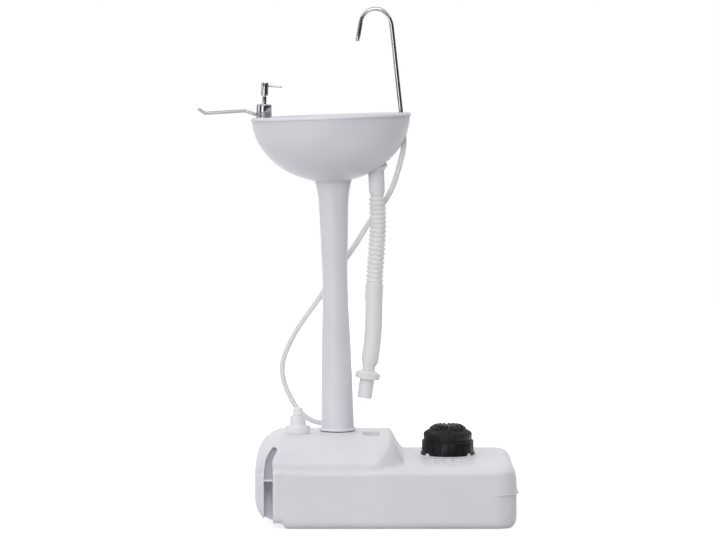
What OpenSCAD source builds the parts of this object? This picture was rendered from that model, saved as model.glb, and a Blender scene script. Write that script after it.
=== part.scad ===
// Portable wash basin with a water tank, a foot pump, a column, a basin, a tap and a soap dispenser.
// Origin: centre of the tank's underside. X runs along the tank to the pump, the front is -Y, Z is up.

/* [Tank] */
// Length of the tank
tank_l = 520.6; // [500:0.2:560]
// Depth of the tank, front to back
tank_d = 320; // [300:5:350]
// Height of the tall end's top
tank_h = 177; // [170:1:190]
// Height of the low end's top
low_h = 124; // [118:1:132]
// Height of the upright front wall
front_wall_h = 112; // [104:1:114]
// Wall thickness of the tank
tank_wall = 3.5; // [2.5:0.5:4.5]
// Radius of the tank's corners seen from above
corner_r = 45; // [38:1:60]
// Width of the ledge at the foot of the shoulders
ledge_w = 5; // [3:0.5:8]
// Place of the top of the ramp between the two ends
ramp_x = 4; // [-6:1:14]
// Length of the ramp along the tank
ramp_run = 36; // [28:1:44]
// Width of the grip slots at the tall end
grip_slot_w = 17; // [14:1:20]
// Depth of the grip slots
grip_slot_depth = 48; // [36:1:55]
// Thickness of the bar beyond the grip slots
grip_bar = 20; // [18:1:26]
// Width of the trough in the top
trough_w = 32; // [26:1:36]
// Depth of the trough in the top
trough_depth = 12; // [8:1:16]
// Height of the moulding seam at the low end
seam_z = 69; // [50:1:90]
// How far the moulding seam stands out
seam_out = 4; // [2:0.5:6]

/* [Pump] */
// Distance of the pump's axis from the low end
pump_from_end = 132.8; // [120:0.1:150]
// Distance of the pump's axis behind the middle
pump_y = 40; // [20:1:55]
// Outer radius of the pump's panelled wall
pump_r = 51.5; // [46:0.5:55]
// Radius of the tread that slides in the wall
tread_r = 48; // [43:0.5:48.5]
// Height of the panelled wall with its ring
pump_wall_h = 28; // [26:1:32]
// Height of the tread above the seat, at rest
tread_top = 59; // [56:1:66]
// Number of panels round the wall
pump_panels = 20; // [12:2:28]
// Number of ribs on the tread
tread_ribs = 16; // [12:1:24]
// Travel of the tread
tread_travel = 20; // [14:1:22]
// Outer radius of the pump's cylinder
cylinder_r = 24; // [21:0.5:26]
// Length of the pump's cylinder below its seat
cylinder_l = 62; // [56:1:72]
// Radius of the pump's rod
rod_r = 6; // [4:0.5:8]

/* [Column] */
// Distance of the column's foot from the tank's middle, towards the tall end
column_off = 96; // [86:1:106]
// Length of the column from foot to basin
column_l = 501.5; // [450:0.5:560]
// How far the column leans towards the tall end, in degrees
column_lean = 1; // [0:0.5:1.5]
// Radius of the column's foot
foot_r = 33.4; // [31:0.2:35]
// Radius of the column's waist
waist_r = 25.1; // [21:0.1:28]
// Radius of the column's head
head_r = 36.2; // [33:0.1:38]
// Wall thickness of the column
column_wall = 3; // [2:0.5:4]
// Depth of the column's socket in the tank
socket_depth = 25; // [18:1:30]
// Outer radius of the sleeve between column and basin
sleeve_r = 25.5; // [22:0.5:27]

/* [Basin] */
// Half the length of the basin's rim
rim_a = 161.3; // [150:0.5:170]
// Half the depth of the basin's rim, front to back
rim_b = 148.3; // [140:0.5:158]
// Height of the basin from the column to the rim
basin_h = 136; // [128:1:146]
// How far the rim tips down at the tall end, in degrees
basin_lean = 2.1; // [0:0.1:3]
// Wall thickness of the basin's mouldings
basin_wall = 3; // [2.5:0.5:3.5]
// Height of the deck above the column
deck_h = 128; // [124:0.5:130]
// Half the length of the bowl
bowl_a = 119; // [112:0.5:120]
// Half the depth of the bowl, front to back
bowl_b = 128; // [120:0.5:131]
// Height of the bowl's floor at the drain
floor_h = 50; // [49:0.5:56]
// Slope of the deck's pads towards the bowl, in degrees
deck_slope = 4.1; // [2:0.1:5]

/* [Drain] */
// Distance of the drain from the basin's middle
drain_x = 87; // [80:0.5:90]
// Radius of the drain's flange
drain_flange_r = 20; // [18:0.5:21]
// Radius of the waste pipe's threaded tail
drain_tail_r = 13.2; // [12:0.1:13.4]
// Radius of the nut under the basin
drain_nut_r = 22; // [19:0.5:22.5]
// Outer radius of the cuff
cuff_r = 16; // [15.5:0.1:18]
// Length of the cuff
cuff_l = 49; // [40:1:49]
// Radius of the hose-end nut
end_nut_r = 24.5; // [21:0.5:27]
// Length of the hose-end nut
end_nut_l = 17.5; // [14:0.5:22]
// Radius of the waste nozzle
nozzle_r = 15; // [13.5:0.1:16]
// Length of the waste nozzle
nozzle_l = 40; // [30:1:50]

/* [Waste hose] */
// Radius over the ribs
rib_r = 17; // [16.5:0.1:18]
// Radius between the ribs
rib_valley_r = 14.6; // [14:0.1:15.5]
// Radius of the smooth stretch
smooth_r = 17.5; // [16:0.1:19]
// Radius of the hose's bore
hose_bore_r = 11.5; // [10:0.1:12]
// Number of ribs
rib_count = 19; // [14:1:24]

/* [Tap] */
// Distance of the tap from the basin's middle
tap_x = 141.6; // [138:0.2:142]
// Radius of the tap's tube
spout_r = 4.5; // [4:0.1:5]
// Wall thickness of the tap's tube
spout_wall = 1.1; // [0.8:0.1:1.5]
// Height of the straight part of the tap
spout_h = 178; // [140:1:200]
// Radius of the tap's flange
tap_flange_r = 9.8; // [8.5:0.1:10]

/* [Supply hose] */
// Radius of the supply hose
supply_r = 5.5; // [4.5:0.1:5.6]

/* [Soap dispenser] */
// Distance of the soap dispenser from the basin's middle
soap_x = 134.9; // [133:0.1:136]
// Radius of the soap dispenser's collar
collar_r = 15.8; // [14:0.1:16.2]
// Radius of the soap head
soap_head_r = 7.35; // [6.5:0.05:8]
// Length of the soap head
soap_head_l = 26.5; // [22:0.5:32]
// Travel of the soap head
soap_travel = 12; // [8:0.5:13]
// Reach of the soap nozzle from the axis
soap_reach = 34; // [28:0.5:40]

/* [Towel bar] */
// Radius of the towel bar
bar_r = 3.35; // [2.5:0.05:3.5]
// Length of the towel bar from the soap dispenser's axis
bar_l = 118; // [100:1:140]

/* [Filler cap] */
// Distance of the filler cap from the tank's middle, towards the tall end
cap_off = 176; // [172:1:178]
// Distance of the filler cap in front of the middle
cap_y = 30; // [24:1:36]
// Radius of the filler cap
cap_r = 25; // [24:0.5:28]
// Height of the filler cap's lower tier
cap_h = 16; // [14:0.5:18]
// Radius of the filler neck
neck_r = 21; // [18:0.5:21.5]

/* [Fits] */
// Clearance between parts that slide or turn on each other
slide_gap = 0.3; // [0.2:0.05:0.4]
// Radial clearance of a running fit
running_gap = 0.06; // [0.04:0.01:0.1]

/* [Hidden] */
$fn = 48;

// Colours
white = [0.84, 0.84, 0.87];
pale = [0.91, 0.91, 0.92];
black = [0.12, 0.11, 0.14];
bright = [0.75, 0.76, 0.78];
clear = [0.88, 0.89, 0.9];
dark = [0.2, 0.2, 0.2];

// Tank
hx = tank_l / 2;
half_d = tank_d / 2;
shoulder_flat = 60;
shoulder_from = 6;
left_round = 60;
left_base = [42, 50];
base_step = 11;
base_from = -207;
right_base = 18;
right_round = 25;
base_r = 16;
plan_corner = 60;
back_rim = 3;
back_edge = 11;
low_edge = 45;
crown = 0.6;
grip_from = -hx + grip_bar;
grip_line = [[0, -20], [0, 121], [2.5, 139], [9.5, 150]];
web_z = 96;
trough_x = -28.5;
trough_y = [4, -70];
seat_ring_r = 43;
seat_ring_h = 1.5;

// Pump
pump_x = hx - pump_from_end;
pump_seat_r = 58;
pump_seat_h = 2.5;
pump_gasket_t = 1;
pump_z = low_h + pump_seat_h + pump_gasket_t;
pump_base_r = pump_r + 2.5;
pump_plate = 3.5;
pump_wall_t = pump_r - tread_r - slide_gap;
retainer_h = 4;
lug_angles = [40, 140, 220, 320];
lug_w = 10;
rod_boss_r = 11;
piston_z = -18;
piston_t = 6;
cylinder_wall = 2.5;
cylinder_flange_r = 30;
cylinder_flange_t = 2;
intake_r = 8;
strainer_r = 14;
strainer_h = 12;
tread_wall = 2.5;
tread_edge = 17.5;
tread_skirt = 24;
tread_flat_r = 26;

// Column and basin frames
column_x = -column_off;
column_z = tank_h + seat_ring_h;
spigot_r = foot_r - 2.9;
column_collar_h = 7.5;
basin_x = column_x - column_l * sin(column_lean);
basin_z = column_z + column_l * cos(column_lean);

// Basin
shroud_a = rim_a - 2;
shroud_b = rim_b - 2;
shroud_depth = basin_h - 1;
lip_low = basin_h - 7;
lip_t = 2.7;
tongue_t = 3.2;
tongue_gap = 0.4;
inner_lip = 9.3;
bowl_x = 5;
bowl_n = 2.8;
bowl_fall = 10;
pad_h = 2;
pad_r = 17;
tap_pad_r = 12;
neck_ring_r = head_r + 0.8;
pocket_h = 37;
drain_boss_r = 19;
well_r = drain_flange_r + 3.5;
pocket_r = drain_nut_r + 1.3;
drain_seal_t = 1.5;

// Hose routes, in millimetres from the origin
waste_route = [[-17.2, 0, 668], [-16.7, 0, 655], [-16, 0, 640], [-15, 0, 610], [-15.5, 0, 580],
    [-17.5, 0, 545], [-20, 0, 510], [-22, 0, 475], [-23, 0, 440], [-23, 0, 410], [-24.5, 0, 380],
    [-27, 0, 352], [-30, 0, 328], [-32.5, 0, 312], [-33.9, 0, 302]];
supply_route = [[35.3, 0, 785.4], [36.9, 0, 770], [36.8, 1, 754], [34, 4, 736], [29.5, 9, 718],
    [24.5, 14, 700], [16, 20, 674], [4.5, 27, 650], [-14, 34, 622], [-36, 40, 592], [-56, 44, 559],
    [-73, 46, 534], [-101, 47, 494], [-129, 46, 450], [-157, 44, 412], [-179, 41, 380],
    [-195, 38, 350], [-206, 36, 322], [-209, 35, 296], [-204, 35, 270], [-193, 36, 244],
    [-178, 38, 219], [-161, 42, 202], [-146, 46, 193], [-132, 50, 189], [-122, 52, 188.5],
    [-112.5, 52, 188.5]];
riser_route = [[pump_x - 35.5, pump_y, 77.9], [pump_x - 57.5, pump_y + 1, 75], [30, 45, 71], [-20, 50, 71], [-55, 52, 77], [-80, 52, 92],
    [-93, 52, 116], [-98, 52, 140], [-98, 52, 161.7]];
end_tilt = 8;
neck_l = 9;

// Outlet elbow on the tank
elbow_x = -98;
elbow_y = 52;
elbow_z = 188.5;

// Helper functions

// How far a rounded end draws in at distance u from it, over a length a and a height b
function draw_in(u, a, b) = u >= a ? 0 : b * (1 - sqrt(max(0, 1 - pow(1 - u / a, 2))));

// Smooth step from 0 to 1
function ease(t) = let (c = min(1, max(0, t))) c * c * (3 - 2 * c);

function unit(v) = v / norm(v);

// Cubic through p1 and p2, with p0 and p3 as their neighbours
function through(p0, p1, p2, p3, t) = 0.5 * (2 * p1 + (p2 - p0) * t
    + (2 * p0 - 5 * p1 + 4 * p2 - p3) * t * t + (3 * p1 - p0 - 3 * p2 + p3) * t * t * t);

// Route with extra points between its own, all on one smooth curve
function smooth_route(p, parts) = let (n = len(p)) concat(
    [for (i = [0 : n - 2], k = [0 : parts - 1])
        through(p[max(i - 1, 0)], p[i], p[i + 1], p[min(i + 2, n - 1)], k / parts)], [p[n - 1]]);

// Direction of a route at its point i
function heading(p, i) = unit(p[min(i + 1, len(p) - 1)] - p[max(i - 1, 0)]);

// Ring of points square to direction d, its first side set by the vector ref
function ring_at(c, d, r, sides, ref) = let (u = unit(cross(ref, d)), v = cross(d, u))
    [for (j = [0 : sides - 1]) c + r * (cos(360 * j / sides) * u + sin(360 * j / sides) * v)];

// Length of a route up to its point i
function run_to(p, i) = i == 0 ? 0 : norm(p[i] - p[i - 1]) + run_to(p, i - 1);

// Point at distance s along a route
function point_at(p, s, i = 0) = let (d = norm(p[i + 1] - p[i]))
    i >= len(p) - 2 || s <= d ? p[i] + (p[i + 1] - p[i]) * s / d : point_at(p, s - d, i + 1);

// Triangles that close a ring of n points: a fan from its first point (0), strips from each point of its first
// half to the matching point of its second half (1), or a fan from the extra point c in its middle (2)
function cap_faces(n, kind, c) = kind == 0 ? [for (j = [1 : n - 2]) [0, j, j + 1]]
    : kind == 2 ? [for (j = [0 : n - 1]) [c, j, (j + 1) % n]]
    : [for (j = [0 : ceil(n / 2) - 2]) each concat([[j, j + 1, n - 1 - j]],
        j + 1 < n - 2 - j ? [[j + 1, n - 2 - j, n - 1 - j]] : [])];

// Skin of triangles over rings of equal count, closed on itself or capped at both ends
module skin(rings, closed = false, cap = 0) {
    n = len(rings[0]);
    m = len(rings);
    last = closed ? m - 1 : m - 2;
    sides = [for (i = [0 : last], j = [0 : n - 1])
        let (a = i * n + j, b = i * n + (j + 1) % n, c = ((i + 1) % m) * n + (j + 1) % n,
            d = ((i + 1) % m) * n + j) each [[a, d, c], [a, c, b]]];
    up = (m - 1) * n;
    low_cap = closed ? [] : cap_faces(n, cap, m * n);
    high_cap = closed ? [] : [for (f = cap_faces(n, cap, n + 1)) [f[0] + up, f[2] + up, f[1] + up]];
    middles = cap == 2 ? [for (r = [rings[0], rings[m - 1]]) (r[0] + r[n / 2]) / 2] : [];
    polyhedron(concat([for (r = rings) each r], middles), concat(low_cap, sides, high_cap), convexity = 8);
}

// Round tube along a route
module swept(p, r, sides, ref) {
    skin([for (i = [0 : len(p) - 1]) ring_at(p[i], heading(p, i), r, sides, ref)]);
}

module tube(r, bore, h) {
    difference() {
        cylinder(r = r, h = h);
        translate([0, 0, -1]) cylinder(r = bore, h = h + 2);
    }
}

// Frames of the basin, the tap, the soap dispenser and the hose's end
module at_basin() { translate([basin_x, 0, basin_z]) rotate([0, -basin_lean, 0]) children(); }
module at_tap() { at_basin() translate([tap_x, 0, deck_h + pad_h]) rotate([0, -deck_slope, 0]) children(); }
module at_soap() { at_basin() translate([-soap_x, 0, deck_h + pad_h]) rotate([0, deck_slope, 0]) children(); }
module at_drain() { at_basin() translate([drain_x, 0, 0]) children(); }
module at_hose_end() { translate(waste_route[len(waste_route) - 1]) rotate([180, end_tilt, 0]) children(); }
module at_pump() { translate([pump_x, pump_y, pump_z]) children(); }
module at_cap() { translate([-cap_off, -cap_y, tank_h]) children(); }

// Tank

function tank_depth(x, s) = half_d - s - draw_in(hx - s + x, corner_r - s, corner_r - s)
    - draw_in(hx - s - x, corner_r - s, corner_r - s);
function tank_floor(x, s) = s + draw_in(hx - s + x, left_base[0], left_base[1])
    + base_step * (1 - ease((x - base_from) / 11)) + draw_in(hx - s - x, right_base, right_base);

// Upper half of a cross-section, from the wall's top to the middle: [distance from the middle, height]
function tall_side(yn, s, t) = concat(
    [[yn, front_wall_h - s - 4], [yn - 0.8, front_wall_h - s - 1], [yn - 2.5, front_wall_h - s],
        [yn - ledge_w, front_wall_h - s + 0.6], [yn - ledge_w - 1.5, front_wall_h - s + 4]],
    [for (a = [12, 25, 38, 50, 62, 72, 81, 90]) [shoulder_flat
        + (yn - ledge_w - 2 - shoulder_flat) * cos(a),
        front_wall_h + shoulder_from + (t - s - front_wall_h - shoulder_from) * sin(a)]],
    [[30, t - s + crown * 0.7], [0, t - s + crown]]);
// The low end's back edge is tighter than its front edge, and stands a little higher
function back_side(yn, s, t) = concat([[yn, front_wall_h - s - 6]],
    [for (b = [10 : 10 : 90]) [yn - back_edge * (1 - cos(b)),
        front_wall_h - s - 4 + (t + back_rim - front_wall_h + 4) * sin(b)]],
    [[yn - 33, t - s + back_rim], [yn - 44, t - s + 0.8], [yn - 54, t - s + 0.2], [22, t - s + 0.4],
        [0, t - s + crown]]);
function low_side(yn, s, t) = concat([[yn, front_wall_h - s - 6]],
    [for (b = [10 : 10 : 90]) [yn - low_edge * (1 - cos(b)),
        front_wall_h - s - 4 + (t - front_wall_h + 4) * sin(b)]],
    [[yn - 60, t - s + 0.1], [yn - 85, t - s + 0.2], [45, t - s + 0.4], [22, t - s + 0.5], [0, t - s + crown]]);

// Share of the tall section in the point m of the cross-section at x
function tall_share(x, y, yn) = let (c = min(1, max(0, (y - (yn - plan_corner)) / plan_corner)))
    1 - ease((x - ramp_x + plan_corner * (1 - sqrt(1 - c * c))) / ramp_run);

function tank_section(x, s, skip) = let (
    yn = half_d - s,
    z0 = tank_floor(x, s),
    th = tall_side(yn, s, tank_h),
    lo = low_side(yn, s, low_h),
    bk = back_side(yn, s, low_h),
    drop_l = draw_in(hx - s + x, left_round - s, left_round - s),
    drop_r = draw_in(hx - s - x, right_round - s, right_round - s),
    k = tank_depth(x, s) / yn,
    rise = function (low) [for (m = [0 : skip : len(th) - 1])
        let (f = tall_share(x + 1.3 * s, th[m][0], yn), p = th[m] * f + low[m] * (1 - f),
            full = (tank_h * f + low_h * (1 - f)) - s)
        [p[0] * k, z0 + (p[1] - s) * (full - drop_l - drop_r - z0) / (full - s)]],
    lower = [for (b = [0, 22.5, 45, 67.5, 90])
        [(yn - base_r + s + (base_r - s) * sin(b)) * k, z0 + (base_r - s) * (1 - cos(b))]],
    front = concat([[60 * k, z0]], lower, rise(lo)),
    back = concat([[60 * k, z0]], lower, rise(bk)))
    concat([[x, 0, front[len(front) - 1][1]]],
        [for (i = [len(front) - 2 : -1 : 0]) [x, -front[i][0], front[i][1]]],
        [[x, 0, z0]], [for (i = [0 : len(back) - 2]) [x, back[i][0], back[i][1]]]);

// Stations along the tank: rounded end, tall end, ramp, low end, rounded end
function stations(s, skip) = concat(
    [for (u = [0, 1.5, 5, 10.5, 18, 28, 40]) -hx + s + u],
    [-212, -207, -203.5, -199.5, -196, -150, -105],
    [for (i = [0 : 12]) ramp_x - 56 + i * 9],
    [100, 160, hx - 62],
    [for (u = [40, 25, 16, 9, 4, 1, 0]) hx - s - u]);

module tank_body(s, skip) {
    skin([for (x = stations(s, skip)) tank_section(x, s, skip)], cap = 2);
}

// Ring of a slot: two half circles of radius r, apart by the straight from p to q
function slot_ring(r, p, q) = [for (j = [0 : 15]) let (a = 11.25 + 22.5 * j)
    [-r * sin(a), r * cos(a) + (cos(a) > 0 ? q : p)]];

// Grip slot at the tall end, in front (side -1) or behind (side 1), grown by g: open below, bent at its top
module grip_slot(side, g) {
    y_in = half_d - grip_slot_depth;
    steps = concat([[half_d + 5, 0]], [for (a = [0, 35, 62, 80]) [y_in, a]]);
    tip = grip_line[3];
    function outline(r) = concat([for (c = grip_line) [c[0] + r, c[1]]],
        [for (a = [72 : -36 : -72]) [tip[0] + r * sin(a), tip[1] + r * cos(a)]],
        [for (i = [3 : -1 : 0]) [grip_line[i][0] - r, grip_line[i][1]]]);
    translate([grip_from + grip_slot_w / 2, 0, 0]) skin([for (s = steps)
        let (r = (grip_slot_w / 2 + g) * cos(s[1]), y = s[0] - (grip_slot_w / 2 + g) * sin(s[1]), o = outline(r))
        [for (i = [0 : len(o) - 1]) let (p = side > 0 ? o[i] : o[len(o) - 1 - i]) [p[0], side * y, p[1]]]], cap = 1);
}

// Trough in the top, grown by g
module trough(g) {
    r = trough_w / 2 + g;
    z = tank_h - trough_depth - g;
    near = trough_y[1] + trough_w / 2;
    far = trough_y[0] - trough_w / 2;
    translate([trough_x, 0, 0]) skin([for (s = [[z, r - 4], [z + 1.2, r - 1.2], [z + 4, r], [z + 60, r]])
        [for (p = slot_ring(s[1], near, far)) [p[0], p[1], s[0]]]]);
}

// Recesses that the tank's wall follows, grown by g
module tank_recesses(g) {
    grip_slot(-1, g);
    grip_slot(1, g);
    trough(g);
    translate([column_x, 0, column_z - socket_depth - g]) cylinder(r = spigot_r + 1 + g, h = 80);
}

module seam_fin() {
    r = corner_r + seam_out;
    angles = [-85, -68, -45, -22, 0, 0, 22, 45, 68, 85];
    skin([for (z = [seam_z - 1, seam_z + 1]) [for (i = [0 : 9])
        [hx - corner_r + r * cos(angles[i]), (i < 5 ? -1 : 1) * (half_d - corner_r) + r * sin(angles[i]), z]]]);
}

module grip_pads() {
    pad = [13.5, 20];
    pitch = [17, 32];
    for (i = [-2 : 2], j = [0 : 2])
        translate([pump_x + i * pitch[0] - pad[0] / 2, pump_y - pump_seat_r - pad[1] - 0.8 - j * pitch[1], low_h - 2])
            cube([pad[0], pad[1], 3.4]);
}

module tank_shell() {
    color(white) difference() {
        union() {
            tank_body(0, 1);
            translate([column_x, 0, tank_h - 4]) cylinder(r = seat_ring_r, h = 4 + seat_ring_h);
            translate([pump_x, pump_y, low_h - 4]) cylinder(r = pump_seat_r, h = 4 + pump_seat_h);
            at_cap() translate([0, 0, -tank_wall]) cylinder(r = neck_r, h = tank_wall + cap_h - 3);
            at_pump() for (a = lug_angles) rotate([0, 0, a])
                translate([pump_base_r - 3, -lug_w / 2 + 0.4, -5]) cube([4, lug_w - 0.8, 8]);
            seam_fin();
            grip_pads();
        }
        difference() {
            tank_body(tank_wall, 2);
            tank_recesses(tank_wall);
        }
        difference() {
            tank_recesses(0);
            translate([-hx, -half_d, web_z]) cube([grip_bar + grip_slot_w + 10, tank_d, 2.5]);
        }
        at_cap() translate([0, 0, -30]) cylinder(r = neck_r - 2.5, h = 60);
        at_pump() translate([0, 0, -pump_gasket_t - cylinder_flange_t]) cylinder(r = cylinder_flange_r + 0.5, h = 20);
        at_pump() translate([0, 0, -30]) cylinder(r = cylinder_r + 1, h = 40);
        translate([elbow_x, elbow_y, tank_h - 20]) cylinder(r = 7.4, h = 40);
    }
}

// Filler cap: the vent stub stands on it

module fill_cap() {
    bore = neck_r + 0.6;
    color(pale) at_cap() difference() {
        union() {
            rotate_extrude() polygon([[0, 1.2], [cap_r - 1, 1.2], [cap_r, 2.2], [cap_r, cap_h - 5],
                [cap_r - 1.2, cap_h - 2], [cap_r - 4, cap_h], [0, cap_h]]);
            translate([0, 0, cap_h - 1]) cylinder(r = 16, h = 21);
        }
        translate([0, 0, -1]) cylinder(r = bore, h = cap_h - 1);
        translate([0, 0, -1]) cylinder(r = 12, h = cap_h + 16);
        translate([0, 0, cap_h + 5]) cylinder(r = 8.2, h = 30);
    }
}

module fill_gasket() {
    color(dark) at_cap() translate([0, 0, cap_h - 2.9]) tube(neck_r - 0.5, neck_r - 4, 0.9);
}

module vent_stub() {
    color(pale) at_cap() translate([0, 0, cap_h + 9]) difference() {
        union() {
            cylinder(r = 8, h = 11.3);
            translate([0, 0, 11.3]) cylinder(r = 10, h = 13);
            translate([0, 0, 24.3]) cylinder(r1 = 10, r2 = 8.6, h = 2.5);
        }
        translate([0, 0, -1]) cylinder(r = 4, h = 40);
    }
}

// Outlet of the tank, behind the column

module outlet_elbow() {
    tail = 15;
    color(pale) difference() {
        union() {
            translate([elbow_x, elbow_y, tank_h - tail]) cylinder(r = 7, h = elbow_z - tank_h + tail);
            translate([elbow_x, elbow_y, tank_h + 2.2]) cylinder(r = 8.8, h = 3);
            translate([elbow_x, elbow_y, elbow_z]) sphere(r = 7);
            translate([elbow_x, elbow_y, elbow_z]) rotate([0, -90, 0]) cylinder(r = 5, h = 14);
        }
        translate([elbow_x, elbow_y, tank_h - tail - 1]) cylinder(r = 3.2, h = elbow_z - tank_h + tail + 1);
        translate([elbow_x, elbow_y, elbow_z]) rotate([0, -90, 0]) cylinder(r = 3.2, h = 20);
        translate([elbow_x, elbow_y, elbow_z]) sphere(r = 3.2);
    }
}

module elbow_gasket() {
    color(dark) translate([elbow_x, elbow_y, tank_h + 0.6]) tube(8.9, 7.4, 1.6);
}

module tank_hose_nut() {
    color(pale) translate([elbow_x - 9, elbow_y, elbow_z]) rotate([0, -90, 0]) difference() {
        cylinder(r = 8.2, h = 14);
        translate([0, 0, -1]) cylinder(r = 5.2, h = 7);
        translate([0, 0, 5]) cylinder(r = supply_r + 0.3, h = 20);
    }
}

module riser_tube() {
    color(clear) swept(smooth_route(riser_route, 2), 4.8, 8, [0, 1, 0]);
}

// Foot pump

function panel_ring(n, r_out, r_in) = [for (i = [0 : n - 1], k = [0 : 3])
    let (a = 360 / n * (i + [0.04, 0.1, 0.9, 0.96][k]), r = [r_in, r_out, r_out, r_in][k]) [r * cos(a), r * sin(a)]];

module pump_housing() {
    color(black) at_pump() difference() {
        union() {
            cylinder(r = pump_base_r, h = pump_plate);
            linear_extrude(pump_wall_h - retainer_h) polygon(panel_ring(pump_panels, pump_r, pump_r - 1));
            cylinder(r = rod_boss_r, h = 12);
        }
        difference() {
            translate([0, 0, pump_plate]) cylinder(r = tread_r + slide_gap, h = 60);
            cylinder(r = rod_boss_r, h = 12);
        }
        translate([0, 0, -1]) cylinder(r = rod_r + running_gap, h = 30);
        for (a = lug_angles) rotate([0, 0, a])
            translate([pump_base_r - 3.4, -lug_w / 2, -1]) cube([10, lug_w, 4.6]);
    }
}

module pump_gasket() {
    color(dark) at_pump() translate([0, 0, -pump_gasket_t]) tube(pump_base_r - 4, rod_r + 4, pump_gasket_t);
}

module pump_retainer() {
    color(black) at_pump() translate([0, 0, pump_wall_h - retainer_h])
        tube(pump_r + 0.4, tread_r + slide_gap, retainer_h);
}

module tread_rib(i) {
    rotate([0, 0, i * 360 / tread_ribs]) translate([tread_flat_r - 5, 0, tread_top - 1])
        rotate([0, 0, 24]) translate([0, -2.2, 0]) rotate([0, 24, 0]) cube([17, 4.4, 3.2]);
}

module pump_tread() {
    shoulder_z = tread_top - tread_edge;
    color(black) at_pump() {
        rotate_extrude() polygon([[0, tread_top], [tread_flat_r, tread_top], [tread_flat_r + 3, tread_top - 1.5],
            [tread_flat_r + 9.5, tread_top - 6.5], [tread_flat_r + 11, tread_top - 9],
            [tread_r - 2.4, shoulder_z + 3], [tread_r, shoulder_z], [tread_r, tread_skirt],
            [tread_r - tread_wall, tread_skirt], [tread_r - tread_wall, shoulder_z - 1],
            [tread_flat_r + 7.5, tread_top - 11.5], [tread_flat_r - 1, tread_top - 3.5], [0, tread_top - 3.5]]);
        for (i = [0 : tread_ribs - 1]) tread_rib(i);
    }
}

module pump_rod() {
    color(bright) at_pump() translate([0, 0, piston_z]) cylinder(r = rod_r, h = tread_top - 3.5 - piston_z);
}

module pump_piston() {
    color(dark) at_pump() translate([0, 0, piston_z]) difference() {
        tube(cylinder_r - cylinder_wall - slide_gap, rod_r, piston_t);
        translate([0, 0, 2]) tube(cylinder_r + 2, cylinder_r - cylinder_wall - 2, 2);
    }
}

module piston_seal() {
    color(black) at_pump() translate([0, 0, piston_z + 2])
        tube(cylinder_r - cylinder_wall - running_gap, cylinder_r - cylinder_wall - 2, 2);
}

module pump_spring() {
    turns = 6;
    steps = 10;
    wire = 1.3;
    coil_r = 17;
    low = pump_plate + wire + 0.2;
    rise = tread_top - 3.5 - 0.3 - wire - low;
    coil = [for (i = [0 : turns * steps])
        [coil_r * cos(i * 360 / steps), coil_r * sin(i * 360 / steps), low + rise * i / (turns * steps)]];
    color(bright) at_pump() swept(coil, wire, 6, [0, 0, 1]);
}

module pump_cylinder() {
    inner = cylinder_r - cylinder_wall;
    color(white) at_pump() difference() {
        union() {
            translate([0, 0, -cylinder_l]) cylinder(r = cylinder_r, h = cylinder_l - pump_gasket_t);
            translate([0, 0, -pump_gasket_t - cylinder_flange_t]) cylinder(r = cylinder_flange_r, h = cylinder_flange_t);
        }
        translate([0, 0, -cylinder_l + 3]) cylinder(r = inner, h = cylinder_l);
        translate([0, 0, -cylinder_l - 1]) cylinder(r = intake_r - 1.5, h = 10);
        translate([0, 0, pump_port_z]) rotate([0, -90, 0]) cylinder(r = port_r + 0.1, h = cylinder_r + 5);
    }
}

pump_port_z = -49.5;
port_r = 5.6;

module outlet_port() {
    color(white) at_pump() translate([0, 0, pump_port_z]) rotate([0, -90, 0])
        translate([0, 0, cylinder_r - cylinder_wall]) tube(port_r, 3.5, 13);
}

module intake_valve() {
    color(dark) at_pump() translate([0, 0, -cylinder_l + 3.1]) {
        cylinder(r = intake_r + 3, h = 1.4);
        translate([0, 0, 1.2]) cylinder(r = 2.5, h = 3);
    }
}

module intake_tube() {
    low = -pump_z + tank_wall + strainer_h;
    color(clear) at_pump() translate([0, 0, low]) tube(intake_r, intake_r - 1.8, -cylinder_l - low);
}

module intake_strainer() {
    color(white) at_pump() translate([0, 0, -pump_z + tank_wall + 0.3]) difference() {
        cylinder(r = strainer_r, h = strainer_h + 8);
        translate([0, 0, 2]) cylinder(r = strainer_r - 2, h = strainer_h - 4);
        translate([0, 0, strainer_h - 0.3]) cylinder(r = intake_r + 0.2, h = 20);
        translate([0, 0, 2]) cylinder(r = intake_r - 1.8, h = 20);
        for (i = [0 : 7]) rotate([0, 0, i * 45]) translate([0, -1.5, 2]) cube([strainer_r + 2, 3, strainer_h - 5]);
    }
}

// Column

// Radius of the column at share t of its length: a soft waist at about two thirds of the height
column_knots = [[0, foot_r], [0.31, waist_r + (foot_r - waist_r) * 0.57], [0.5, waist_r + (foot_r - waist_r) * 0.14],
    [0.625, waist_r], [0.79, waist_r + (head_r - waist_r) * 0.21], [0.915, waist_r + (head_r - waist_r) * 0.41],
    [0.965, waist_r + (head_r - waist_r) * 0.64], [1, head_r]];
column_curve = smooth_route(column_knots, 3);

module column() {
    n = len(column_curve) - 1;
    outer = [for (p = column_curve) [p[1], p[0] * column_l]];
    inner = [for (i = [n : -1 : 0]) [column_curve[i][1] - column_wall, column_curve[i][0] * column_l]];
    color(white) difference() {
        translate([column_x, 0, column_z]) rotate([0, -column_lean, 0]) rotate_extrude()
            polygon(concat([[spigot_r - column_wall, -socket_depth + 1], [spigot_r, -socket_depth + 1], [spigot_r, -0.8],
                [foot_r, -0.8]],
                outer, [[head_r, column_l + 3], [head_r - column_wall, column_l + 3]], inner,
                [[spigot_r - column_wall, 0]]));
        at_basin() translate([-60, -60, 0]) cube([120, 120, 60]);
        translate([column_x, 0, column_z - 9]) tube(60, spigot_r + 0.6, 9);
    }
}

module column_collar() {
    color(pale) translate([column_x, 0, column_z]) tube(foot_r + 2.2, foot_r + 0.4, column_collar_h);
}

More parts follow.
